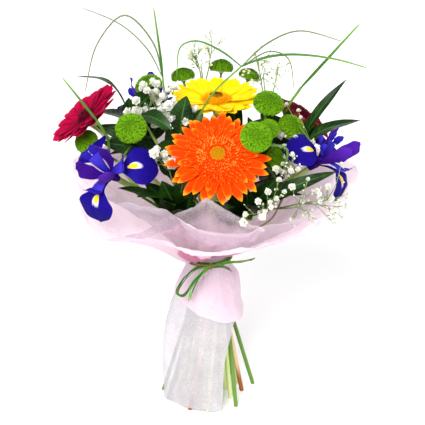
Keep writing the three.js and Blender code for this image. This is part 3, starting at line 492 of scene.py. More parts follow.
LOOKS = {
    "orange": petal_look("orange_petal", 0xF03400, 0xFF4600, 0xFFB428, 0xEE3000),
    "yellow": petal_look("yellow_petal", 0xFFC000, 0xFFE600, 0xFFEE10, 0xFAC000),
    # the last value is the share of painted shade on a petal's sides
    "crimson": petal_look("crimson_petal", 0x7A0226, 0xC40544, 0xCC1450, 0x9C0436, 0.85),
    "dark_red": petal_look("dark_red_petal", 0x420204, 0x860A0C, 0x9C1014, 0x5C0406, 0.8),
    "orange_middle": floret_look("orange_floret", 0xE83800, 0xFF5A04, 0xFFB840, 0xC8B414),
    "yellow_middle": floret_look("yellow_floret", 0xF0A404, 0xFFCC14, 0xF4B81C, 0x2A1206),
    "dark_middle": floret_look("dark_floret", 0x6E0620, 0xA4284A, 0x66162A, 0x3A0C12),
    "iris": iris_look(),
    "button": button_look(),
    "breath": breath_look(),
    "leaf": leaf_look(),
    "stem": stem_look(),
    "grass": grass_look(),
    # the white sheet's greyer skirt colour and much paler collar colour are painted shade and painted light
    # on one sheet
    "wrap_white": wrap_look("wrap_white", 0xE0DAE4, 0xCEC7D2, 0xFCF0F8, 0.17, 0.1),
    "wrap_pink": wrap_look("wrap_pink", 0xFAE6F3, 0xEFD4E3, 0xF5E0EA, 0.08, 0.1),
    "raffia": strand_look("raffia", 0x2C6E1E, 0xA08446, 0x5CC430, 0.6),
    "twine": strand_look("twine", 0xB89B66, 0xA88A54, 0xC4AC7C, 0.9),
}

# Gerberas: `disc` is the size of the middle, `inner` the step between petals of the third layer

GERBERAS = {
    "orange": {
        "at": (10, -75, 321), "face": (0.03, -0.62, 0.78), "radius": 56, "rise": 0.02,
        "rays": 17, "wide": 0.52, "tip": 0.8, "inner": 3, "disc": 1.0, "seed": 1,
    },
    "yellow": {
        "at": (9, 30, 343), "face": (0, -0.06, 1), "radius": 52, "rise": 0.26,
        "rays": 17, "wide": 0.7, "tip": 0.6, "inner": 2, "disc": 0.54, "seed": 2,
        "eye": 1.8, "dark_rings": 2,
    },
    "crimson": {
        "at": (-128, -5, 338), "face": (-0.6, -0.1, 0.79), "radius": 45, "rise": 0.2,
        "rays": 15, "wide": 0.86, "tip": 0.05, "inner": 1, "disc": 0.42, "seed": 3,
    },
    "dark_red": {
        "at": (101, 58, 319), "face": (0.5, 0.1, 0.86), "radius": 43, "rise": -0.1,
        "rays": 15, "wide": 0.82, "tip": 0.1, "inner": 1, "disc": 0.55, "seed": 4,
    },
}
GERBERA_R = 56.0  # the size at which the shapes below are written
# the low mound that the florets stand on
MOUND_R = (0.01, 4, 8, 12, 16, 20, 24, 28)
MOUND_Z = (8.4, 8.3, 7.6, 7.2, 6.4, 5.4, 4.2, 2.6)
RINGS = 8
SPIKES = 150
EYE_BUDS = 110


def petal_outline(t, tip):
    """Half width along a ray petal: narrow at its base, widest past its middle; `tip` near 0 is round."""
    grow = 0.42 + 0.58 * smoothstep(t / 0.6)
    end = np.clip((t - 0.62) / 0.382, 0, 1) ** (3.0 - 1.4 * tip)
    return grow * np.clip(1 - end, 0.004, 1) ** (0.45 + 0.2 * tip)


def ray_petal(shape, draw, angle, start, reach, width, z, rise, tip, rows=14, cols=9):
    """A long petal from `start` to `reach`, curved up by `rise`, cupped, ribbed and a little askew."""
    t = np.linspace(0, 1, rows)
    r = start + (reach - start) * t
    a = angle + draw.normal(0, 0.05) * t**2
    up = z + rise * (r - 10) ** 2 / (GERBERA_R - 10) + draw.normal(0, 0.9) * t**2 - 1.6 * t**6
    middle = polar(r, a, up)
    side = tangent(a)
    normal = np.cross(heading(middle), side)
    roll = (draw.normal(0, 0.16) * t)[:, None]
    rolled = side * np.cos(roll) + normal * np.sin(roll)
    normal = normal * np.cos(roll) - side * np.sin(roll)
    s = np.linspace(-1, 1, cols)
    half = width * petal_outline(t, tip)
    cup = draw.uniform(0.12, 0.34) * (1 - 0.5 * t[:, None] ** 3) * s**2
    lift = half[:, None] * (cup + 0.055 * np.cos(3 * math.pi * s))
    ribbon(shape, middle, rolled, normal, half, lift, draw.random(), 0.0, cols)


def gerbera_rays(spec):
    """Layers of petals: each layer's shift, reach, height, width, added rise and step round the head."""
    draw = np.random.default_rng(spec["seed"])
    shape = Shape()
    count, start, tip = spec["rays"], 8 * spec["disc"], spec["tip"]
    width = math.pi * GERBERA_R * spec["wide"] / count
    layers = (
        (0.0, 1.0, -1.2, 1.0, 0.0, 1),
        (0.5, 0.93, 1.0, 0.95, 0.03, 1),
        (0.22, 0.8, 2.2, 0.85, 0.05, spec["inner"]),
    )
    for shift, share, z, wide, more, step in layers:
        for k in range(0, count, step):
            angle = (k + shift + draw.normal(0, 0.08)) / count * TAU
            reach = GERBERA_R * share * draw.uniform(0.93, 1.0)
            ray_petal(shape, draw, angle, start, reach, width * wide, z, spec["rise"] + more, tip)
    return shape


def spike(shape, foot, top, wide, tint, kind):
    """A thin three-cornered point."""
    _, a, b = frames(np.array([foot, top]))
    ring = [foot + wide * (a[0] * math.cos(k * TAU / 3) + b[0] * math.sin(k * TAU / 3)) for k in range(3)]
    shape.add([*ring, top], [(0, 1, 3), (1, 2, 3), (2, 0, 3)], (0.2, 0.2, 0.2, 1), 0, tint, kind)


def bead(shape, at, radius, tint, kind, along=0.5, sides=6, rings=4):
    """A small ball."""
    rise = np.linspace(-math.pi / 2, math.pi / 2, rings + 1)[:, None]
    points = polar(np.cos(rise), np.arange(sides) / sides * TAU, np.sin(rise))
    shape.grid(points * radius + np.asarray(at), tint, kind, (along, along), around=True)


def short_petals(shape, draw, ring, dark):
    """A ring of short petals, most of them with a bright bead at the tip. Outer rings lean out more."""
    count = 34 + 9 * ring
    t = np.linspace(0, 1, 5)
    for k in range(count):
        angle = (k + 0.5 * (ring % 2) + draw.normal(0, 0.2)) / count * TAU
        length = (3.6 + 0.45 * ring) * draw.uniform(0.75, 1.15)
        lean = math.radians(66 - 6.5 * ring + draw.normal(0, 6))
        out = 9.2 + 2.5 * ring + length * (t * math.cos(lean) + 0.25 * t**2)
        up = 6.6 - 0.55 * ring + length * t * math.sin(lean) * (1 - 0.35 * t)
        a = angle + draw.normal(0, 0.06) * t
        middle = polar(out, a, np.minimum(up, 11.5))
        side = tangent(a)
        normal = np.cross(heading(middle), side)
        half = (0.4 + 0.06 * ring) * np.array([0.8, 1.0, 1.15, 1.0, 0.45])
        lift = half[:, None] * 0.45 * np.array([1.0, 0.0, 1.0])
        ribbon(shape, middle, side, normal, half, lift, draw.random(), 1.0 if dark else 0.0, 3)
        if not dark and draw.random() < 0.95 - 0.09 * ring:
            bead(shape, middle[-1] + vec(0, 0, 0.3), draw.uniform(0.38, 0.66), 0.5, 0.5, sides=4, rings=2)


def gerbera_florets(spec):
    """The middle of a gerbera: a low mound under short petals, spikes with bright tips and the eye."""
    draw = np.random.default_rng(spec["seed"] + SEED["florets"])
    shape = Shape()
    mound = polar(np.array(MOUND_R)[:, None], np.arange(28) / 28 * TAU, np.array(MOUND_Z)[:, None])
    shape.grid(mound, 0.5, 0.0, (0.1, 0.1), around=True)
    for ring in range(RINGS):
        short_petals(shape, draw, ring, ring < spec.get("dark_rings", 0))
    for _ in range(SPIKES):
        angle = draw.random() * TAU
        far = 8 + 13 * math.sqrt(draw.random())
        foot = polar(far, angle, 7.0)
        lean = polar(1, angle, 0) * 0.45 * far / 14 + vec(*draw.normal(0, 0.12, 2), 1)
        spike(shape, foot, foot + unit(lean) * draw.uniform(3.2, 4.6), 0.45, draw.random(), 0.5)
    # the eye: tight buds in a spiral
    for k in range(EYE_BUDS):
        share = math.sqrt((k + 0.5) / EYE_BUDS)
        at = polar(7.8 * spec.get("eye", 1.0) * share, k * GOLDEN, 8.8 + 0.7 * (1 - share))
        bead(shape, at, 0.62, draw.random(), 1.0, sides=5, rings=3)
    return shape


def add_gerberas():
    """The ray petals and the middle of each gerbera."""
    for name, spec in GERBERAS.items():
        node, bright = f"gerbera_{name}", name in ("orange", "yellow")
        matrix = turn_to(spec["face"]) * (spec["radius"] / GERBERA_R)
        rays, florets = gerbera_rays(spec), gerbera_florets(spec)
        rays.place(matrix, spec["at"])
        florets.place(matrix @ np.diag([spec["disc"], spec["disc"], 1]), spec["at"])
        make(f"{node}_ray_petals", rays, LOOKS[name], f"{name}_petal", f"{node}_petals")
        middle = LOOKS[f"{name}_middle" if bright else "dark_middle"]
        make(f"{node}_middle", florets, middle, "floret" if bright else "dark_floret", f"{node}_florets")


# Irises: `fall` is the way that one of the three falls points

IRISES = {
    "left": {"at": (-99, -70, 299), "face": (-0.38, -0.7, 0.6), "fall": (31, -7, 11), "size": 0.88},
    "right": {"at": (118, -24, 295), "face": (0.72, -0.22, 0.66), "fall": (-22, -19, 17), "size": 0.86},
    "back": {"at": (-66, 98, 304), "face": (-0.1, 0.1, 1), "fall": (0.97, 0.24, 0), "size": 0.84},
}
# rows of a petal: how far out, how far up, its half width, how far its edges lie above its middle
FALL = (
    (2, -6, 2.4, 0.5), (12, 5, 3.6, 1.6), (22, 11, 6.5, 2.0), (29, 13, 14.5, 0.5), (36, 12, 21.5, -1.5),
    (43, 7.5, 23.5, -2.5), (49, 0.5, 20.5, -2), (53, -7, 12.5, -0.5), (54.5, -12, 3, 0.5),
)
STANDARD = (
    (2, -4, 1.6, 0), (9, 8, 4, 0.8), (15, 20, 8, 1.5),
    (20, 34, 10.5, 1.5), (21, 45, 8.5, 0.5), (20, 52, 2.5, 0),
)
STYLE_ARM = ((1, 4, 2.2, -0.5), (7, 12, 4.5, -1.5), (16, 18, 6.5, -2.0), (25, 21, 8, -2.2))
CREST = ((24, 21, 3.5, 0), (28, 25, 5.0, -0.5), (30, 30, 4.0, 0), (30, 33.5, 0.8, 0))
# the green swelling under a bloom: heights, then radii
OVARY = ((-16, -12, -6, -1, 4, 8), (3.6, 4.2, 5.2, 4.8, 3.6, 1.5))


def iris_petal(shape, rows, angle, kind, draw, count, cols, ruffle, aside=0.0, splay=0.0):
    """A petal after its rows, with a ruffled edge and a groove, turned by `angle` round the bloom."""
    tint = draw.random()
    t = np.linspace(0, 1, count)
    out, up, half = along_curve([vec(*row[:3]) for row in rows], count).T
    edge = np.interp(t, np.linspace(0, 1, len(rows)), [row[3] for row in rows])
    middle = np.stack([out, aside + splay * t, up], axis=1)
    side = vec(0, 1, 0)
    normal = unit(np.cross(heading(middle), side))
    half = np.maximum(half, 0.4)
    s = np.linspace(-1, 1, cols)
    wave = ruffle * np.sin(t[:, None] * 19 + draw.uniform(0, 6) + 3 * (s > 0)) * np.abs(s) ** 3
    groove = 0.5 * np.exp(-((s / 0.16) ** 2)) * half[:, None] / 12
    lift = edge[:, None] * s**2 + wave * smoothstep(t[:, None] * 2) - groove
    start = len(shape.points)
    ribbon(shape, middle, side, normal, half, lift, tint, kind, cols)
    shape.place(turn_to((0, 0, 1), angle), vec(0, 0, 0), start)


def add_irises():
    """Three falls, style arms with split crests and standards on a green swelling, for each iris."""
    for index, (name, spec) in enumerate(IRISES.items()):
        draw = np.random.default_rng(SEED["iris"] + index)
        shape = Shape()
        tube(shape, [vec(0, 0, z) for z in OVARY[0]], OVARY[1], 12, 0.9, 1.0)
        for angle in (0, 120, 240):
            iris_petal(shape, FALL, angle, 0.0, draw, 26, 15, 1.1)
            iris_petal(shape, STYLE_ARM, angle, 0.5, draw, 12, 9, 0.3)
            for side in (-1, 1):
                iris_petal(shape, CREST, angle, 0.5, draw, 9, 7, 0.6, side * 4.2, side * 2.5)
            iris_petal(shape, STANDARD, angle + 60, 1.0, draw, 22, 11, 1.2)
        spin = spin_towards(spec["face"], spec["fall"])
        shape.place(turn_to(spec["face"], spin) * spec["size"], spec["at"])
        make(f"iris_{name}_bloom", shape, LOOKS["iris"], "iris_petal", f"iris_{name}_flower")


# Button chrysanthemums: the fork of each branching stem, then its heads as (middle, radius, face)

SPRAYS = {
    "left": {
        "tint": 0.1,
        "flat": 0.86,
        "fork": (-94, -20, 292),
        "heads": (((-79, -50, 343), 17, (-0.2, -0.55, 0.8)), ((-129, -14, 313.6), 13.5, (-0.5, -0.5, 0.7))),
    },
    "back_left": {
        "tint": 0.9,
        "fork": (-34, 50, 300),
        "heads": (((-64, 34, 360), 15.5, (-0.3, -0.1, 1)), ((-28, 84, 353), 14, (-0.15, 0.35, 1))),
    },
    "back": {
        "tint": 0.5,
        "fork": (28, 84, 305),
        "heads": (((15, 99, 358), 14, (0.05, 0.35, 1)), ((46, 88, 352), 12.5, (0.3, 0.35, 0.9))),
    },
    "right": {
        "tint": 0.3,
        "fork": (66, 2, 300),
        "heads": (
            ((64, -9, 355), 17, (0.2, -0.25, 1)),
            ((89, -7, 327), 16, (0.6, -0.3, 0.8)),
            ((64, -41, 339), 11.5, (0.3, -0.5, 0.8)),
        ),
    },
    "front": {
        "tint": 0.05,
        "fork": (74, -33, 276),
        "heads": (((49, -84, 347), 17, (0.25, -0.6, 0.75)), ((71, -42, 306), 12, (0.75, -0.5, 0.5))),
        "ways": {0: ((80, -56, 302), (80, -66, 328))},
    },
}
HEAD_BASE = -0.42  # a head starts this share of its radius below its middle
HEAD_FLAT = 0.72  # how flat most heads are
BRACTS = 14  # small green leaves under a head
CUP_BRACTS = 26  # and under a gerbera


def button_head(radius, seed):
    """A green core under overlapping small petals, set in a spiral from the crown to the rim."""
    draw = np.random.default_rng(seed)
    shape = Shape()
    tilt = np.linspace(0.02, 1.95, 9)[:, None]
    core = polar(np.sin(tilt), np.arange(20) / 20 * TAU, np.cos(tilt))
    # the core takes the darker colour of a petal's base, painted shade under the petals
    shape.grid(core * radius * 0.86, 0.2, 0.0, (0.35, 0.35), around=True)
    count = int(420 + radius * 26)
    t = np.linspace(0, 1, 4)[:, None]
    for k in range(count):
        share = (k + 0.5) / count
        phi = math.acos(1 - share * (1 - math.cos(1.98))) + draw.normal(0, 0.022)
        theta = k * GOLDEN + draw.normal(0, 0.16)
        out = polar(math.sin(phi), theta, math.cos(phi))
        down = polar(math.cos(phi), theta, -math.sin(phi))
        side = np.cross(down, out)
        length = radius * (0.11 + 0.14 * share) * draw.uniform(0.75, 1.2)
        lean = draw.normal(0, 0.3)
        rise = draw.uniform(0.12, 0.19)
        middle = out * radius * (0.8 + rise * np.sin(t * 1.5)) + (down + side * lean) * length * (t - 0.35)
        half = radius * (0.03 + 0.014 * share) * draw.uniform(0.8, 1.25) * np.array([0.7, 1.0, 1.05, 0.5])
        lift = half[:, None] * np.array([0.55, 0.0, 0.55]) * np.array([0.4, 1, 1, 0.7])[:, None]
        ribbon(shape, middle, side, out, half, lift, draw.random(), 1.0, 3)
    return shape


# Stems, which run in a spiral through the neck

SPIRAL = 0.0178  # sideways run of a stem per mm of height, for each mm from the axis
BENDS = (0.4, 0.3, 0.52, 0.46, 0.35, 0.6, 0.24)  # how soon a stem may bend, as shares of its length
NECK_Z = 174  # the height at which every stem passes through the neck
LOW_ROWS = 12  # points of a stem's line from its cut end to the neck
# the radius of each kind of stem up to the neck, and at its top
STEM_R = {
    "gerbera": (2.7, 2.7),
    "iris": (2.6, 3.1),
    "button": (2.6, 1.9),
    "leaves": (2.5, 1.3),
    "tuft": (2.4, 1.0),
    "single": (2.4, 1.5),
    "breath": (2.3, 0.9),
}


def node_points(node):
    """The points of a CAD node, in millimetres, each once."""
    points = np.array([v.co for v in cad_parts[node].data.vertices], float) / MM
    return np.unique(np.round(points, 3), axis=0)


def stem_line(node, top, face, count=30):
    """The middle of the node's stem: straight through the neck, then bending to its top.
    Its place in the neck and how soon it bends are read from the solid."""
    points = node_points(node)
    place = points[np.abs(points[:, 2] - NECK_Z) < 0.05].mean(axis=0)
    lean = vec(-place[1] * SPIRAL, place[0] * SPIRAL, 1)
    face = unit(face)
    top = np.asarray(top, float)
    best = None
    for bend in BENDS:
        reach = np.linalg.norm(place - top) * bend
        ends = (place, place + lean * reach, top - face * reach, top)
        line = bezier(*ends, count)
        probes = line[[count // 4, count // 2, 3 * count // 4]]
        off = max(np.abs(np.linalg.norm(points - p, axis=1)).min() for p in probes)
        # the nearest five points are a ring of the solid where the guess is right
        ring = np.sort(np.linalg.norm(points - bezier(*ends, 5)[2], axis=1))[:5]
        score = ring.std() + ring[4] + off * 0.01
        if best is None or score < best[0]:
            best = (score, line)
    foot = place - lean * NECK_Z
    below = foot + (place - foot) * np.linspace(0, 1, LOW_ROWS)[:-1, None]
    return np.concatenate([below, best[1]])


def stem_tube(shape, line, plant, tint, slim=False, kind=0.0, cut=1.0, cup=None):
    """A stem along its line, full size to the neck, with a cut end. It thins to its top, at once where
    it is slim, and may end in a wider cup."""
    low, top = STEM_R[plant]
    share = np.clip((np.arange(len(line)) - LOW_ROWS + 1) / (len(line) - LOW_ROWS), 0, 1)
    radii = np.where(share <= 0, low, low + (top - low) * (smoothstep(share * 6) if slim else share))
    if cup is not None:
        radii = radii + (cup - top) * np.clip((share - 0.93) / 0.07, 0, 1) ** 1.5
    tube(shape, line, radii, 10, tint, kind, cap_kind=cut, level=LOW_ROWS)


def upright(top, lean):
    """The way that a branching stem faces at its top: up, and a little away from the middle."""
    return (top[0] * lean, top[1] * lean, 1)


def branch_to_head(shape, fork, ways, at, radius, face, draw):
    """The branch from the fork to a head, with small green bracts round the bottom of the head."""
    out = unit(vec(*face))
    top = vec(*at) + out * (HEAD_BASE * radius + 0.2)
    way = along_curve([fork, *[vec(*w) for w in ways], top - out * 9, top], 16)
    radii = np.interp(np.linspace(0, 1, 16), [0, 0.85, 0.95, 1], [1.5, 1.3, 1.9, 3.6])
    tube(shape, way, radii, 8, -1.0)
    t = np.linspace(0, 1, 4)[:, None]
    half = radius * np.array([0.08, 0.11, 0.09, 0.02])
    for k in range(BRACTS):
        spread = turn_to(out) @ polar(1, k / BRACTS * TAU, 0)
        middle = top + spread * radius * (0.15 + 0.5 * t) + out * radius * (0.02 + 0.22 * t**2)
        ribbon(shape, middle, np.cross(spread, out), out, half, 0.0, draw.random() * 0.3, 0.0, 3)


def add_button_sprays():
    """The heads of each spray and the branching stem that carries them."""
    for spray_index, (name, spray) in enumerate(SPRAYS.items()):
        fork = vec(*spray["fork"])
        node = f"button_{name}_stem"
        shape = Shape()
        stem_tube(shape, stem_line(node, fork, upright(fork, 0.004)), "button", spray["tint"])
        draw = np.random.default_rng(SEED["spray"] + spray_index)
        for index, (at, radius, face) in enumerate(spray["heads"]):
            branch_to_head(shape, fork, spray.get("ways", {}).get(index, ()), at, radius, face, draw)
            bloom = f"button_{name}_{index + 1}"
            head = button_head(radius, SEED["head"] + spray_index * 10 + index)
            head.place(turn_to(face, index * 37) @ np.diag([1, 1, spray.get("flat", HEAD_FLAT)]), at)
            make(f"{bloom}_head", head, LOOKS["button"], "button_green", bloom)
        make(f"button_{name}_branches", shape, LOOKS["stem"], "stem", node)


def add_flower_stems():
    """The stems of the gerberas, with the green cup under each, and of the irises."""
    t = np.linspace(0, 1, 5)[:, None]
    for index, (name, spec) in enumerate(GERBERAS.items()):
        face = unit(vec(*spec["face"]))
        size = spec["radius"] / GERBERA_R
        top = vec(*spec["at"]) + face * (-3 * size - 0.3)
        shape = Shape()
        line = stem_line(f"gerbera_{name}_stem", top, face)
        stem_tube(shape, line, "gerbera", 0.35 + 0.15 * index, cup=9.5 * size)
        # the green bracts of the cup
        half = np.array([1.3, 1.8, 1.7, 1.2, 0.2]) * size
        for k in range(CUP_BRACTS):
            spread = turn_to(face) @ polar(1, k * GOLDEN, 0)
            middle = top + spread * (3.5 + 10 * t) * size - face * (4.5 - 0.14 * k) * (1 - t) ** 1.5
            ribbon(shape, middle, np.cross(spread, face), face, half, 0.0, 0.1, 0.0, 3)
        make(f"gerbera_{name}_stalk", shape, LOOKS["stem"], "stem", f"gerbera_{name}_stem")
    for index, (name, spec) in enumerate(IRISES.items()):
        face = unit(vec(*spec["face"]))
        top = vec(*spec["at"]) + face * (-16 * spec["size"] - 0.3)
        shape = Shape()
        stem_tube(shape, stem_line(f"iris_{name}_stem", top, face), "iris", 0.15 + 0.2 * index)
        make(f"iris_{name}_stalk", shape, LOOKS["stem"], "stem", f"iris_{name}_stem")


# Leaves: where each leafy stem ends, then each leaf as (the share of the upper stem where it starts,
# x, y, z of its tip, its width, how far it arches, and the way that it faces unless that is up)

FRONT = (0, -1, 0.3)
FRONT_LOW = (0, -1, 0.2)
FRONT_UP = (0, -0.9, 0.4)
SLANT = (0, -0.8, 0.6)
LEAFY = {
    "left": (
        (-70, -18, 345),
        (1, -37, -46, 339, 18, 7, (0.1, -0.7, 0.7)), (0.93, -106, -34, 336, 12, 3),
        (0.85, -88, -42, 316, 20, 4), (0.75, -106, -18, 300, 22, 4), (0.7, -72, -46, 300, 20, 4),
        (0.95, -44, -6, 338, 18, 4), (0.6, -50, -10, 302, 24, 4, FRONT_UP),
        (0.8, -118, -12, 331, 20, 3, FRONT_UP), (0.75, -112, -22, 316, 22, 3, FRONT_UP),
    ),
    "middle": (
        (-29, -22, 326),
        (1, -22, -16, 366, 25, 3, (-0.2, -1, 0.2)), (0.9, -58, -62, 318, 22, 5, (-0.1, -0.5, 0.8)),
        (0.8, -48, -42, 296, 22, 4), (0.75, -10, -44, 292, 22, 4), (0.7, -56, -20, 290, 22, 4),
        (0.6, -24, -58, 290, 26, 3, FRONT_LOW), (0.5, -34, -50, 282, 26, 3, FRONT_LOW),
        (0.85, -44, 0, 322, 24, 3, (0, -0.8, 0.5)), (0.95, -4, -4, 334, 22, 3, (0, -0.7, 0.6)),
        (0.97, -6, -12, 350, 18, 3, FRONT_UP), (0.7, -56, -36, 306, 26, 3, FRONT),
    ),
    "back_left": (
        (-88, 26, 336),
        (1, -142, 26, 372, 10, 14), (0.9, -132, 62, 318, 18, 6), (0.8, -108, 6, 318, 20, 4),
        (0.75, -70, 60, 312, 22, 4), (0.7, -112, 40, 296, 22, 4),
        (0.95, -46, 18, 352, 22, 5, (0, -0.6, 0.8)), (0.9, -62, 8, 340, 24, 4, SLANT),
        (0.97, -84, 6, 356, 16, 3, FRONT_UP), (0.85, -92, 8, 330, 24, 4, SLANT),
        (0.8, -40, 40, 328, 24, 4, (0, -0.6, 0.8)), (0.75, -64, 8, 308, 24, 4, FRONT_UP),
        (0.97, -78, 4, 348, 26, 3, FRONT_UP), (0.97, -52, 16, 366, 22, 3, SLANT),
    ),
    "right": (
        (95, 3, 300),
        (1, 147, 8, 376, 13, 7, (-0.6, -0.6, 0.5)), (0.94, 163, 4, 331, 17, 12, (-0.2, -0.4, 0.9)),
        (0.9, 78, -24, 314, 20, 4), (0.85, 82, 28, 322, 22, 4), (0.8, 112, 32, 300, 22, 4),
        (0.75, 60, -32, 298, 22, 4), (0.95, 60, 6, 338, 24, 4, SLANT), (0.9, 86, 8, 342, 20, 3, FRONT_UP),
        (0.85, 44, 0, 326, 24, 4, SLANT), (0.7, 58, -42, 304, 24, 3, FRONT),
        (0.65, 82, -34, 296, 24, 3, FRONT), (0.6, 70, -44, 284, 24, 3, FRONT),
        (0.7, 74, -28, 318, 24, 3, FRONT), (0.6, 64, -50, 286, 24, 3, FRONT),
        (0.75, 42, -14, 342, 22, 3, FRONT_UP), (0.8, 56, -2, 346, 20, 3, FRONT_UP),
    ),
    "front_left": (
        (-34, -62, 262),
        (1, -72, -92, 284, 26, 4), (0.9, -36, -104, 281, 24, 5), (0.95, -47, -82, 298, 24, 3, FRONT),
        (0.9, -94, -60, 280, 24, 4), (0.85, -12, -102, 270, 24, 4), (0.8, -66, -62, 288, 22, 4, SLANT),
        (0.9, -26, -52, 287, 28, 3, FRONT_LOW), (0.75, -18, -82, 280, 28, 3, FRONT),
        (0.7, -48, -62, 276, 26, 3, FRONT),
    ),
    "front_right": (
        (44, -56, 258),
        (1, 98, -82, 282, 22, 4), (0.9, 18, -108, 278, 24, 5), (0.97, 134, -58, 298, 16, 6, SLANT),
        (0.95, 62, -96, 272, 24, 4), (0.9, 40, -84, 290, 24, 3, FRONT), (0.85, 88, -48, 282, 22, 4),
        (0.8, 44, -106, 264, 20, 4), (0.75, 4, -86, 276, 26, 3, FRONT),
        (0.7, 26, -76, 280, 28, 3, FRONT_LOW), (0.85, 72, -60, 292, 24, 3, FRONT),
    ),
    "back": (
        (24, 70, 264),
        (1, 62, 100, 296, 24, 5), (0.9, -20, 112, 292, 24, 5), (0.8, 98, 76, 286, 22, 5),
        (0.95, 32, 60, 308, 24, 4), (0.9, -36, 72, 302, 24, 4), (0.85, 62, 62, 302, 24, 4),
        (0.8, 0, 104, 284, 24, 4), (0.95, 8, 52, 304, 26, 4), (0.95, 78, 74, 302, 24, 4),
        (0.9, 50, 30, 300, 26, 4), (1, 28, 80, 346, 20, 3, FRONT_UP), (1, 14, 84, 344, 18, 3, FRONT_UP),
    ),
}
WOODY = ("back", "right")  # leafy stems with brown bark


def leaf_blade(shape, start, tip, width, arch, draw, face=(0, 0, 1), rows=26, cols=11):
    """A leaf from its start to its tip, arched towards its face, folded along its rib and wavy."""
    way = np.asarray(tip, float) - start
    side = unit(np.cross(way, face))
    normal = unit(np.cross(side, way))
    t = np.linspace(0, 1, rows)
    half = width / 2 * np.clip(np.sin(math.pi * t**0.85), 0, 1) ** 0.8
    half = np.maximum(half, np.interp(t, [0, 0.06, 0.94, 1], [0.9, 0.9, 0.6, 0.15]))
    sway = draw.normal(0, 0.02) * np.linalg.norm(way)
    middle = start + way * t[:, None] + (normal * arch + side * sway) * np.sin(math.pi * t)[:, None]
    along = heading(middle)
    sides = unit(np.cross(along, np.cross(side, along)))
    sides = np.where((sides @ side)[:, None] < 0, -sides, sides)
    normals = np.cross(sides, along)
    normals = np.where((normals @ normal)[:, None] < 0, -normals, normals)
    s = np.linspace(-1, 1, cols)
    ripple = 0.5 * np.sin(t[:, None] * 14 + draw.uniform(0, 6) + 1.5 * np.sign(s)) * np.abs(s) ** 2.5
    fold = 0.24 * np.abs(s) ** 1.4 * half[:, None] + ripple * (half[:, None] / (width / 2))
    rib = -0.35 * np.exp(-((s / 0.09) ** 2)) * np.minimum(1, half[:, None] / 3)
    ribbon(shape, middle, sides, normals, half, fold + rib, draw.random(), 1.0, cols)


def add_leaves():
    """Each leafy stem with its leaves, which leave it between the neck and its top."""
    for index, (name, (top, *leaves)) in enumerate(LEAFY.items()):
        draw = np.random.default_rng(SEED["leaves"] + index)
        shape = Shape()
        line = stem_line(f"leaves_{name}", top, upright(top, 0.006))
        stem_tube(shape, line, "leaves", 0.4, kind=0.5 if name in WOODY else 0.0, cut=0.8)
        upper = line[LOW_ROWS - 1 :]
        for on, x, y, z, width, arch, *face in leaves:
            start = upper[round(on * (len(upper) - 1))]
            leaf_blade(shape, start, (x, y, z), width, arch, draw, *face)
        make(f"leafy_stem_{name}", shape, LOOKS["leaf"], "leaf", f"leaves_{name}")


# Bear grass: the way from the top of each stem to where its blades part, then its blades as
# (width, the points that each passes)

TUFTS = {
    "left": {
        "top": (-45, 8, 330),
        "up": ((-46, 14, 352), (-48, 18, 374)),
        "blades": (
            (3, ((-58, 22, 412), (-87, 24, 441), (-116, 22, 412), (-133, 18, 352))),
            (2.4, ((-64, 28, 402), (-92, 30, 429), (-136, 30, 449))),
            (3.6, ((-50, 14, 400), (-56, 6, 456))),
        ),
    },
    "right": {
        "top": (-14, -21, 328),
        "up": ((-7, -28, 352), (8, -30, 377), (35, -12, 397)),
        "blades": (
            (3, ((60, 2, 416), (94, 14, 427), (146, 26, 411))),
            (3.6, ((58, -14, 407), (87, -12, 410), (130, -14, 406), (168, -20, 397))),
            (2.4, ((65, 4, 408), (84, 6, 400), (92, 6, 362))),
            (2.8, ((14, -4, 411), (-12, 2, 420), (-28, 2, 414), (-33, 2, 379))),
        ),
    },
    "single_left": {
        "top": (-104, -40, 326),
        "up": ((-113, -55, 353),),
        "blades": ((3.4, ((-147, -60, 403),)),),
    },
    "single_right": {
        "top": (84, 15, 338),
        "up": ((99, 14, 364),),
        "blades": ((4.2, ((158, -6, 443),)),),
    },
}
GREEN = 0.1  # the tint of a fresh blade
# the tints of the blades where some are pale
PALE_BLADES = {"left": (0.9, 0.95, 0.1), "right": (0.8, 0.1, 0.7, 0.3)}


def grass_blade(shape, points, width, tint):
    """A narrow blade, folded along its middle, that thins towards its tip."""
    middle = even(along_curve(points, 60), 3.0)
    along = heading(middle)
    side = unit(np.cross(along, (0, -0.9, 0.42)))
    t = np.linspace(0, 1, len(middle))
    slender = 0.8 - 0.12 * (tint > 0.5)
    half = width / 2 * slender * (1 - 0.6 * t**2) * np.where(t > 0.93, (1 - t) / 0.07 + 0.05, 1)
    half = half * np.interp(t, (0, 0.2), (0.6, 1))
    lift = half[:, None] * 0.55 * (1 - np.abs(np.linspace(-1, 1, 5)))
    ribbon(shape, middle, side, np.cross(side, along), half, lift, tint, 0.0, 5)


def add_grass():
    """Each tuft or single blade on its stem."""
    for name, tuft in TUFTS.items():
        shape = Shape()
        top = vec(*tuft["top"])
        up = [vec(*p) for p in tuft["up"]]
        line = stem_line(f"grass_{name}", top, (0.1, 0, 1))
        whole = np.concatenate([line[:-4], along_curve([line[-4], top, *up], 24)])
        stem_tube(shape, whole, "single" if "single" in name else "tuft", 0.1, slim=True, kind=0.5)
        for k, (width, points) in enumerate(tuft["blades"]):
            tint = PALE_BLADES[name][k] if name in PALE_BLADES else GREEN
            grass_blade(shape, [up[-1], *[vec(*p) for p in points]], width, tint)
        make(f"grass_{name}_tuft", shape, LOOKS["grass"], "grass", f"grass_{name}")


# Baby's breath: where each stem ends and the forks that its twigs leave

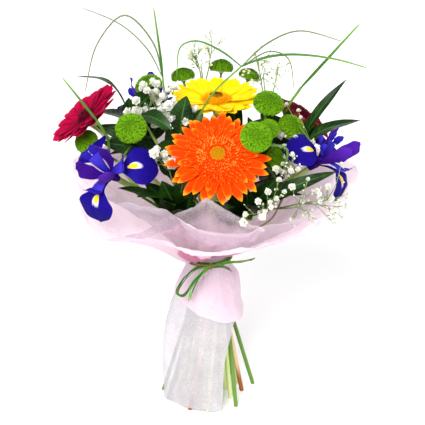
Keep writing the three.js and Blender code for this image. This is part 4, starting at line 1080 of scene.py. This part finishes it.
ADDED = (  # florets that the solid doesn't have, as (x, y, z, radius)
    (70, -72, 307, 4.6), (73, -84, 300, 4.0), (86, -70, 304, 4.0), (93, -66, 304, 3.4),
    (86, -88, 294, 4.8), (78, -92, 290, 3.4), (61, -98, 293, 4.4), (64, -108, 280, 3.6),
    (51, -108, 287, 4.4), (55, -118, 274, 4.8), (103, -76, 297, 2.9), (124, -82, 292, 3.4),
    (114, -90, 287, 3.4), (80, -40, 319, 3.6), (86, -36, 320, 2.9), (81, -48, 310, 3.4),
    (78, -56, 306, 2.9), (97, 6, 341, 3.4), (99, 0, 335, 3.4), (84, 8, 347, 3.8),
    (138, -62, 308, 3.2), (144, -80, 283, 3.2), (36, -124, 271, 5.2), (38, -118, 277, 4.0),
    (58, -112, 277, 3.4),
)
BREATHS = {
    "top_left": ((-40, 2, 316), (-54, -8, 336), (-34, -4, 344), (-70, 4, 338)),
    "mid_left": ((-40, -44, 292), (-48, -60, 308), (-38, -50, 316)),
    "top": ((-6, 90, 332), (-14, 86, 378), (4, 88, 384), (-8, 84, 366)),
    "top_right": ((62, 42, 316), (60, 46, 368), (76, 44, 376), (54, 50, 382)),
    "right": (
        (74, -50, 252), (92, -36, 292), (108, -26, 318), (86, -56, 286),
        (96, -80, 268), (124, -76, 274), (62, -90, 268),
    ),
}
FINE = ("top", "top_right")  # sprays of buds alone
# the size of a spray's florets against the solid ones, and the share of side twigs that end in a bud
USUAL_FLORETS = (1.35, 0.2)
RIGHT_FLORETS = (0.95, 0.7)
TWIG_R = 0.42
SIDE_TWIG_R = 0.3
TIP_SHARE = 0.8  # a solid floret's tip stands this share of its radius past its middle


def solid_florets(node):
    """(middle, way out, radius) of each floret of a solid spray: its tip is a point with three
    neighbours, all as far from their own middle."""
    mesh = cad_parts[node].data
    mesh.calc_loop_triangles()
    points = np.array([v.co for v in mesh.vertices], float) / MM
    points, index = np.unique(np.round(points, 3), axis=0, return_inverse=True)
    near = {}
    for triangle in mesh.loop_triangles:
        ids = [int(index.ravel()[v]) for v in triangle.vertices]
        for a in ids:
            near.setdefault(a, set()).update(b for b in ids if b != a)
    found = []
    for a, others in near.items():
        if len(others) != 3:
            continue
        belly = points[sorted(others)]
        middle = belly.mean(axis=0)
        radii = np.linalg.norm(belly - middle, axis=1)
        rise = np.linalg.norm(points[a] - middle)
        if np.ptp(radii) < 0.05 and abs(rise / radii.mean() - TIP_SHARE) < 0.05:
            found.append((middle, (points[a] - middle) / rise, radii.mean()))
    return sorted(found, key=lambda f: tuple(f[0].round(2)))


def floret(shape, at, out, radius, draw, tint):
    """A small double flower: three rings of cupped petals."""
    matrix = turn_to(out, draw.uniform(0, 360))
    up = vec(0, 0, 1)
    t = np.linspace(0, 1, 4)[:, None]
    start = len(shape.points)
    for count, reach, rise in ((6, 1.0, 0.25), (6, 0.85, 0.8), (4, 0.5, 1.15)):
        shift = draw.random()
        for k in range(count):
            angle = (k + shift) / count * TAU
            spread = polar(1, angle, 0)
            size = radius * draw.uniform(0.85, 1.1)
            middle = spread * size * reach * t + up * size * (rise * t**1.4 - 0.35)
            half = size * np.array([0.1, 0.36, 0.46, 0.22])
            lift = half[:, None] * 0.4 * np.array([1, 0, 1]) + 0.12 * size * draw.normal(0, 1, (4, 3)) * t
            ribbon(shape, middle, tangent(angle), unit(up - spread * rise), half, lift, tint, 1.0, 3)
    shape.place(matrix, at, start)


def bud(shape, at, out, radius, draw):
    """A closed or half-open bud on a small green cup."""
    bead(shape, at - out * radius * 0.7, radius * 0.6, 0.3, 0.0, 0.8, 6, 4)
    start = len(shape.points)
    bead(shape, (0, 0, 0), radius, draw.uniform(0.4, 1.0), 1.0, 1.0, 7, 5)
    shape.place(turn_to(out) @ np.diag([0.8, 0.8, 1.15]), at, start)


def twig(shape, start, end, radius, draw, sag=0.06):
    """A thin twig that bows a little on its way."""
    way = end - start
    bow = unit(np.cross(way, draw.normal(0, 1, 3))) * np.linalg.norm(way) * sag
    line = along_curve([start, start + way * 0.5 + bow, end], 7)
    tube(shape, line, np.linspace(radius, radius * 0.7, 7), 4, 0.5, 0.0, False)
    return line


def back_along(fork, top):
    """Points from a fork back along its branch."""
    return fork + (top - fork) * np.linspace(0, 0.9, 40)[:, None]


def side_twigs(shape, line, radius, fine, size, buds, draw, low, high):
    """Four side twigs with smaller florets or buds, kept between the corners of the solid."""
    for _ in range(4):
        leave = line[draw.integers(2, 6)]
        reach = draw.uniform(6, 13) if fine else draw.uniform(5, 11)
        way = unit(unit(line[-1] - line[0]) + draw.normal(0, 0.5, 3))
        end = np.clip(leave + way * reach, low + radius, high - radius)
        twig(shape, leave, end, SIDE_TWIG_R, draw)
        if fine or draw.random() < buds:
            bud(shape, end, way, draw.uniform(0.9, 1.7), draw)
        else:
            floret(shape, end, way, size * draw.uniform(0.65, 0.9), draw, draw.random() * 0.4)


def added_floret(shape, middle, radius, forks, top, draw, low, high):
    """A smaller spray of the same stem: a floret with two buds."""
    branch = np.concatenate([back_along(f, top) for f in forks])
    start = branch[np.argmin(np.linalg.norm(branch - middle + vec(0, 0, 8), axis=1))]
    out = unit(unit(middle - start) + vec(0, -0.6, 0.5))
    line = twig(shape, start, middle - out * radius * 0.5, TWIG_R, draw)
    floret(shape, middle, out, radius * 0.86, draw, 0.2 + draw.random() * 0.5)
    for _ in range(2):
        way = unit(unit(line[-1] - line[0]) + draw.normal(0, 0.6, 3))
        end = np.clip(line[draw.integers(3, 6)] + way * draw.uniform(6, 11), low + 2, high - 2)
        twig(shape, line[4], end, SIDE_TWIG_R, draw)
        bud(shape, end, way, draw.uniform(0.9, 1.6), draw)


def add_breaths():
    """Each spray: its twigs lead from the forks to the florets of the solid."""
    for index, (name, places) in enumerate(BREATHS.items()):
        draw = np.random.default_rng(SEED["breath"] + index)
        shape = Shape()
        node = f"breath_{name}"
        top, *forks = [vec(*p) for p in places]
        stem_tube(shape, stem_line(node, top, upright(top, 0.004)), "breath", 0.5, slim=True)
        for fork in forks:
            twig(shape, top, fork, 0.85, draw, 0.03)
        corners = node_points(node)
        low, high = corners.min(axis=0) - 1, corners.max(axis=0) + 1
        fine = name in FINE
        size, buds = RIGHT_FLORETS if name == "right" else USUAL_FLORETS
        for middle, out, radius in solid_florets(node):
            # the twig leaves its branch where the line back from the floret passes nearest to it
            branch = back_along(min(forks, key=lambda f: np.linalg.norm(f - middle)), top)
            start = branch[np.argmin(np.linalg.norm(np.cross(branch - middle, out), axis=1))]
            line = twig(shape, start, middle - out * radius * 0.5, TWIG_R, draw)
            if fine:
                bud(shape, middle, out, min(radius, 2.4) * 0.9, draw)
            else:
                floret(shape, middle, out, radius * size, draw, draw.random() * 0.4)
            side_twigs(shape, line, radius, fine, radius * size, buds, draw, low, high)
        if name == "right":
            for x, y, z, radius in ADDED:
                added_floret(shape, vec(x, y, z), radius, forks, top, draw, low, high)
        make(f"{node}_spray", shape, LOOKS["breath"], "breath_white", node)


# The wrap: azimuth 0 is the front and grows to the right

# rows of a rim: azimuth, radius, height, and how the sheet bowls out on the way to it
WHITE_RIM = (
    (-180, 122, 276, 1.15), (-120, 128, 280, 1.1), (-80, 126, 272, 0.85), (-60, 126, 275, 0.75),
    (-38, 126, 281, 0.75), (-20, 126, 278, 0.8), (-8, 126, 272, 0.8), (8, 126, 263, 0.9),
    (19, 127, 258, 1.1), (41, 129, 262, 1.1), (60, 137, 264, 1.1), (80, 138, 270, 1.1),
    (120, 130, 276, 1.15), (180, 122, 276, 1.15),
)
PINK_RIM = (
    (-180, 142, 262, 1.1), (-130, 146, 268, 1.1), (-92, 147, 279, 0.9), (-70, 147, 256, 0.8),
    (-50, 147, 244, 0.8), (-30, 150, 254, 0.75), (0, 143, 249, 0.75), (20, 146, 249, 0.85),
    (40, 145, 250, 1.0), (55, 148, 262, 1.0), (72, 160, 268, 1.0), (92, 163, 272, 1.0),
    (130, 150, 266, 1.1), (180, 142, 262, 1.1),
)
# the white sheet's front corner, which stands up before the rest of its rim, as (azimuth, height)
FLAP_RIM = ((-42, 243), (-33, 252), (-22, 268), (-11, 287), (-0.5, 307), (10, 288), (19, 270), (28, 256))
FLAP_R = 127  # how far out the corner's rim stands
FLAP_GAP = 1.2  # how far the corner lies before the sheet
FLAP_LOW = 0.3  # the share of the way to the rim where the corner leaves the sheet
# hems are (azimuth, height), the skirt is (height, radius)
WHITE_HEM = ((-180, 6), (0, 4), (180, 8))
PINK_HEM = ((-180, 127), (-75, 132), (-40, 125), (0, 115), (30, 107), (65, 105), (100, 118), (180, 127))
SKIRT = ((0, 57), (35, 54), (70, 51), (108, 43.5), (137, 33), (159, 23.2), (167, 21.8))
# how far a collar droops over the tie at the left: azimuths, then depths
DROOP = ((-150, -110, -75, -45, -18, -2, 6), (0, 7, 12, 12, 10, 5, 0))
SLACK_TOP = 159  # the sheets hang loose below this height
SEAM = 179  # how far to the left of the front a sheet's left edge lies, above the tie
# the pocket is painted, not shaped: deep pink for the double sheet and painted shade in its fold
POCKET = (-40, 32)  # the azimuths between which the pink sheet has its pocket
LAP = 185  # the right edge of a sheet passes over the left one at the back
# `out` is how far a sheet lies outside the skirt's radii at the neck and `loose` at its hem; `left`
# and `right` are the heights and azimuths of its edges
WRAPS = {
    "white": {
        "out": 0, "loose": 0, "neck": 181, "droop": 0.7, "hem": WHITE_HEM, "rim": WHITE_RIM,
        "left": ((0, -60), (60, -80), (115, -112), (159, -SEAM)),
        "right": ((0, 14), (105, 46), (159, LAP)),
    },
    "pink": {
        "out": 1.6, "loose": 3, "neck": 179, "droop": 1.0, "hem": PINK_HEM, "rim": PINK_RIM,
        "left": ((0, -176), (159, -SEAM)),
        "right": ((0, 180), (159, LAP)),
    },
}


def table(rows, x, column=1):
    """A smooth value between given rows."""
    rows = np.array(rows, float)
    x = np.asarray(x, float)
    ends = np.clip([np.arange(len(rows)) - 1, np.arange(len(rows)) + 1], 0, len(rows) - 1)
    slopes = (rows[ends[1], column] - rows[ends[0], column]) / (rows[ends[1], 0] - rows[ends[0], 0])
    i = np.clip(np.searchsorted(rows[:, 0], x) - 1, 0, len(rows) - 2)
    start, end = rows[i], rows[i + 1]
    wide = end[..., 0] - start[..., 0]
    t = np.clip((x - start[..., 0]) / wide, 0, 1)
    a, b = start[..., column], end[..., column]
    m, n = slopes[i] * wide, slopes[i + 1] * wide
    return a + t * m + t**2 * (3 * (b - a) - 2 * m - n) + t**3 * (2 * (a - b) + m + n)


def round_axis(azimuth, radius, z):
    """Points at an azimuth, which is 0 at the front, and a radius from the upright axis."""
    a = np.radians(azimuth)
    return np.stack(np.broadcast_arrays(np.sin(a) * radius, -np.cos(a) * radius, z), axis=-1)


def bell(x, middle, width):
    """A smooth bump round a value."""
    return np.exp(-(((x - middle) / width) ** 2))


def crumple(azimuth, level, seed, stretch=1.0):
    """Soft dents and creases, longer along the sheet's rise than round it."""
    azimuth, level = np.broadcast_arrays(azimuth, level)
    a = np.radians(azimuth)
    wide = 1.6 + 2.2 * level
    spots = np.stack([np.sin(a) * wide, np.cos(a) * wide, level * stretch], axis=-1).reshape(-1, 3)

    def field(scale, shift):
        return np.array([noise.noise(Vector(p * scale) + Vector(shift)) for p in spots])

    soft = field(1.3, (seed, 0, 0)) * 3.0
    crease = (0.3 - np.abs(field(1.9, (0, seed, 0)))) * 6.0
    fine = (0.3 - np.abs(field(4.3, (seed, seed, 0)))) * 1.8
    return (soft + crease + fine).reshape(azimuth.shape)


def over(azimuth):
    """How far the right edge lies over the left one."""
    return 1.3 * smoothstep((azimuth - 168) / 10)


def collar(spec, azimuth, level, rim_r, rim_z, lift=0.0):
    """The part of a sheet above the neck, a share `level` of the way to its rim."""
    a = np.radians(azimuth)
    neck_r = SKIRT[-1][1] + spec["out"]
    fold = 3.2 * level * np.cos(7 * a)
    gather = np.sin(23 * a + 0.8 * np.sin(3 * a)) * 1.6 * np.clip(level * 9, 0, 1) * np.exp(-level * 3.5)
    dents = crumple(azimuth, level, 7.0) * smoothstep(level * 2.5)
    radius = neck_r + (rim_r - neck_r) * level**0.9 + over(azimuth)
    radius = radius + fold + gather + (dents + lift) * 0.5
    bowl = table(spec["rim"], azimuth, 3)
    height = spec["neck"] + (rim_z - spec["neck"]) * level**bowl - fold * 0.6
    # at the left it droops over the tie
    droop = np.interp(azimuth, *DROOP) * spec["droop"]
    height = height - droop * smoothstep((radius - 26.5) / 6) * (1 - smoothstep((radius - 36) / 50))
    return round_axis(azimuth, radius, height - gather * 0.6 - dents * 0.8 - lift)


def skirt(spec, share, rows):
    """The part of a sheet from its hem to the neck."""
    rise = (np.linspace(0, 1, rows) ** 0.9)[:, None]
    low_left, low_right = spec["left"][0][1], spec["right"][0][1]
    hem = table(spec["hem"], low_left + (low_right - low_left) * share)
    z = hem + (spec["neck"] - hem) * rise
    left, right = table(spec["left"], z), table(spec["right"], z)
    azimuth = left + (right - left) * share
    slack = np.clip((SLACK_TOP - z) / 30, 0, 1)
    a = np.radians(azimuth)
    folds = 0.9 * np.sin(11 * a + z / 30) * np.clip((SLACK_TOP - z) / 90, 0, 1)
    wave = slack * (0.8 * np.cos(5 * a) + folds)
    pinch = 0.5 * np.sin(31 * a) * bell(z, SLACK_TOP, 16)
    radius = table(SKIRT, z) + spec["out"] + (spec["loose"] - spec["out"]) * slack + wave + pinch
    # at the right it bulges under the tie and is drawn in below that
    drawn_in = 6.6 * smoothstep((140 - z) / 22) * smoothstep((z - 88) / 14)
    radius = radius + bell(azimuth, 85, 38) * (4.8 * bell(z, 150, 9) - drawn_in)
    radius = radius + crumple(azimuth, z / NECK_Z - 1, 3.0, 2.0) * 0.25 * slack + over(azimuth)
    return round_axis(azimuth, radius, z)


def wrap_sheet(spec, around=260, skirt_rows=64, collar_rows=76):
    """A whole sheet, from its hem through the neck to its rim."""
    share = np.linspace(0, 1, around)[None, :]
    lower = skirt(spec, share, skirt_rows)
    # the collar, from the neck to the rim
    level = np.linspace(0, 1, collar_rows + 1)[1:, None]
    azimuth = (-SEAM + (SEAM + LAP) * share) * np.ones_like(level)
    upper = collar(spec, azimuth, level, table(spec["rim"], azimuth), table(spec["rim"], azimuth, 2))
    shape = Shape()
    shape.grid(np.concatenate([lower, upper]), 0.5, 0.0)
    kind = np.concatenate([np.zeros(skirt_rows), np.ones(collar_rows)])
    shape.values[-1][:, 3] = np.repeat(kind, around)
    if spec["out"]:
        # the pocket above the tie, where the pink sheet folds double: only its tint is set here, which the
        # material paints deep pink, a deeper pink for the double sheet with painted shade in the fold
        low, high = POCKET
        pocket_shade = smoothstep((azimuth - low) / 6) * (1 - smoothstep((azimuth - high) / 6))
        pocket_shade = pocket_shade * (1 - smoothstep((level - 0.16 - 0.1 * np.sin((azimuth - low) / 9)) / 0.06))
        shape.values[-1][skirt_rows * around :, 2] = (0.5 * (1 - pocket_shade)).reshape(-1)
    return shape


def add_flap(shape, spec, around=80, rows=60):
    """The corner of the white sheet, which stands up before the front of its collar."""
    corner_a, corner_z = np.array(FLAP_RIM).T
    azimuth = np.linspace(corner_a[0], corner_a[-1], around)[None, :]
    level = np.linspace(FLAP_LOW, 1, rows)[:, None]
    # it leaves the sheet little by little, so that both end in one surface
    free = smoothstep((level - FLAP_LOW) / 0.5)
    main_r, main_z = table(spec["rim"], azimuth), table(spec["rim"], azimuth, 2)
    rim_r = main_r + (FLAP_R - main_r) * free
    rim_z = main_z + (np.interp(azimuth, corner_a, corner_z) - main_z) * free
    shape.grid(collar(spec, azimuth, level, rim_r, rim_z, FLAP_GAP), 0.5, 1.0)
    # tint rises to 1 on the corner that stands alone, which the material greys as painted shade
    sides = smoothstep((azimuth + 38) / 14) * (1 - smoothstep((azimuth - 12) / 12))
    alone = smoothstep((level - 0.55) / 0.3) * sides
    shape.values[-1][:, 2] = (0.5 + 0.5 * alone).reshape(-1)


def add_wraps():
    """The white sheet with its corner, and the pink sheet outside it."""
    for name, spec in WRAPS.items():
        shape = wrap_sheet(spec)
        if name == "white":
            add_flap(shape, spec)
        piece = make(f"{name}_wrap", shape, LOOKS[f"wrap_{name}"], f"wrap_{name}", f"wrap_{name}")


# The ties

KNOT = (2, -31.4, 173)
# the number of strands and the way of each bundle that leaves the knot, the loops first
RAFFIA_WAYS = (
    (5, (KNOT, (-12, -33, 172), (-27, -38, 161), (-34, -43, 147), (-28, -44, 143), (-15, -38, 161), KNOT)),
    (4, (KNOT, (-9, -38, 164), (-18, -44, 150), (-21, -48, 138))),
    (4, (KNOT, (20, -31, 178), (38, -30, 179), (54, -30, 184))),
    (3, (KNOT, (16, -33, 175), (30, -36, 168))),
)
WINDINGS = 13
KNOT_TURNS = 6
TWINE_TURNS = 5
STRAND_WIDE = 1.5
BAND_R = 25.9
BAND_LOW = 169.7
BAND_HIGH = 175.4
TWINE_LINE_R = 20.35
TWINE_R = 0.75


def strand(shape, line, width, draw, thick=0.35, sides=8):
    """A flat papery strand that twists slowly about its line."""
    tint = draw.random()
    along, a, b = frames(line, (0, 0.3, 1))
    t = np.linspace(0, 1, len(line))
    turn = (draw.uniform(0, TAU) + draw.normal(0, 1.2) * t * 2)[:, None]
    side = a * np.cos(turn) + b * np.sin(turn)
    normal = np.cross(side, along)
    angle = np.arange(sides) / sides * TAU
    ring = side[:, None] * (np.cos(angle) * width / 2)[None, :, None]
    ring = ring + normal[:, None] * (np.sin(angle) * thick)[None, :, None]
    skin = line[:, None] + ring
    shape.grid(skin, tint, 0.0, around=True)
    for row, order in ((0, -1), (-1, 1)):
        shape.add(skin[row], [list(range(sides))[::order]], 0, 0, tint)


def add_ties():
    """The raffia round the neck, its knot with loops and tails, and the twine under the wrap."""
    draw = np.random.default_rng(SEED["ties"])
    band = Shape()
    turn = np.linspace(0, TAU * 1.02, 90)
    for k in range(WINDINGS):
        radius = BAND_R + 0.55 * np.sin(3 * turn + k) + 0.25 * (k % 3)
        rise = 5.2 * ((k * 5) % WINDINGS) / (WINDINGS - 1)
        z = BAND_LOW + 0.2 + rise + 0.6 * np.sin(turn * 2 + k * 1.7)
        line = round_axis(np.degrees(turn + 2.6), radius, np.clip(z, BAND_LOW, BAND_HIGH))
        strand(band, line, STRAND_WIDE, draw)
    make("raffia_windings", band, LOOKS["raffia"], "raffia", "raffia_band")
    bow = Shape()
    for index, (count, way) in enumerate(RAFFIA_WAYS):
        for _ in range(count):
            push = draw.normal(0, 1.0, (len(way), 3))
            push[0] *= 0.6
            line = even(along_curve(list(np.array(way) + push), 70), 1.4)
            line = line[: int(len(line) * (1 if index == 0 else draw.uniform(0.8, 1.0)))]
            strand(bow, line, draw.uniform(1.0, 1.7), draw)
    turn = np.linspace(0, TAU, 24)
    for _ in range(KNOT_TURNS):
        across = draw.uniform(-2.4, 2.4)
        loop = np.stack([across + 0 * turn, 1.6 + 2.7 * np.cos(turn), 3.4 * np.sin(turn)], axis=1)
        strand(bow, vec(*KNOT) + loop, STRAND_WIDE, draw)
    make("raffia_knot_and_tails", bow, LOOKS["raffia"], "raffia", "raffia_bow")
    twine = Shape()
    for k in range(TWINE_TURNS):
        line = round_axis(np.linspace(0, 360, 60), TWINE_LINE_R, 167.8 + 1.6 * k)
        tube(twine, line, TWINE_R, 6, draw.random(), 0.0, False)
    make("twine_windings", twine, LOOKS["twine"], "twine", "binding_twine")


# The studio

CAMERA = {"elevation": 25.0, "distance": 1.5, "target": (0.00495, 0.0, 0.224), "lens": 115.5}
# each light: its place, its size in metres and its power in watts
LIGHTS = {
    "key": ((-0.5, -1.5, 1.5), 0.9, 54),
    "fill": ((1.5, -0.9, 0.9), 1.4, 12),
    "back": ((0.3, 1.5, 1.4), 1.2, 24),
}
LIT = (0, 0, 0.25)  # the point that the lights face
SKY = 0.45  # the strength of the even light from all round
FLOOR_HALF = 6
FLOOR_Z = -0.0005


def area_light(name, at, size, watts):
    """A soft light that faces the bouquet."""
    light = bpy.data.lights.new(name, "AREA")
    light.size = size
    light.energy = watts
    made = bpy.data.objects.new(name, light)
    made.location = at
    made.rotation_euler = (Vector(LIT) - Vector(at)).to_track_quat("-Z", "Y").to_euler()
    bpy.context.scene.collection.objects.link(made)


def add_studio():
    """A white floor under an even sky, three soft lights and the camera."""
    scene = bpy.context.scene
    scene.view_settings.view_transform = "Standard"
    world = bpy.data.worlds.new("studio")
    world.use_nodes = True
    background = world.node_tree.nodes["Background"]
    background.inputs[0].default_value = (1, 1, 1, 1)
    background.inputs[1].default_value = SKY
    scene.world = world
    mesh = bpy.data.meshes.new("floor")
    corners = ((-1, -1), (1, -1), (1, 1), (-1, 1))
    mesh.from_pydata([(x * FLOOR_HALF, y * FLOOR_HALF, FLOOR_Z) for x, y in corners], [], [(0, 1, 2, 3)])
    floor = bpy.data.objects.new("floor", mesh)
    mesh.materials.append(Look("floor").finish((0.93, 0.93, 0.93, 1.0), 0.9, specular=0.1))
    scene.collection.objects.link(floor)
    for name, light in LIGHTS.items():
        area_light(name, *light)
    camera = bpy.data.objects.new("camera", bpy.data.cameras.new("camera"))
    camera.data.sensor_width = 36.0
    camera.data.lens = CAMERA["lens"]
    rise = math.radians(CAMERA["elevation"])
    back = Vector((0, -math.cos(rise), math.sin(rise)))
    camera.location = Vector(CAMERA["target"]) + back * CAMERA["distance"]
    camera.rotation_mode = "QUATERNION"
    camera.rotation_quaternion = (-back).to_track_quat("-Z", "Y")
    scene.collection.objects.link(camera)
    scene.camera = camera


add_studio()
add_wraps()
add_ties()
add_gerberas()
add_irises()
add_button_sprays()
add_flower_stems()
add_leaves()
add_grass()
add_breaths()
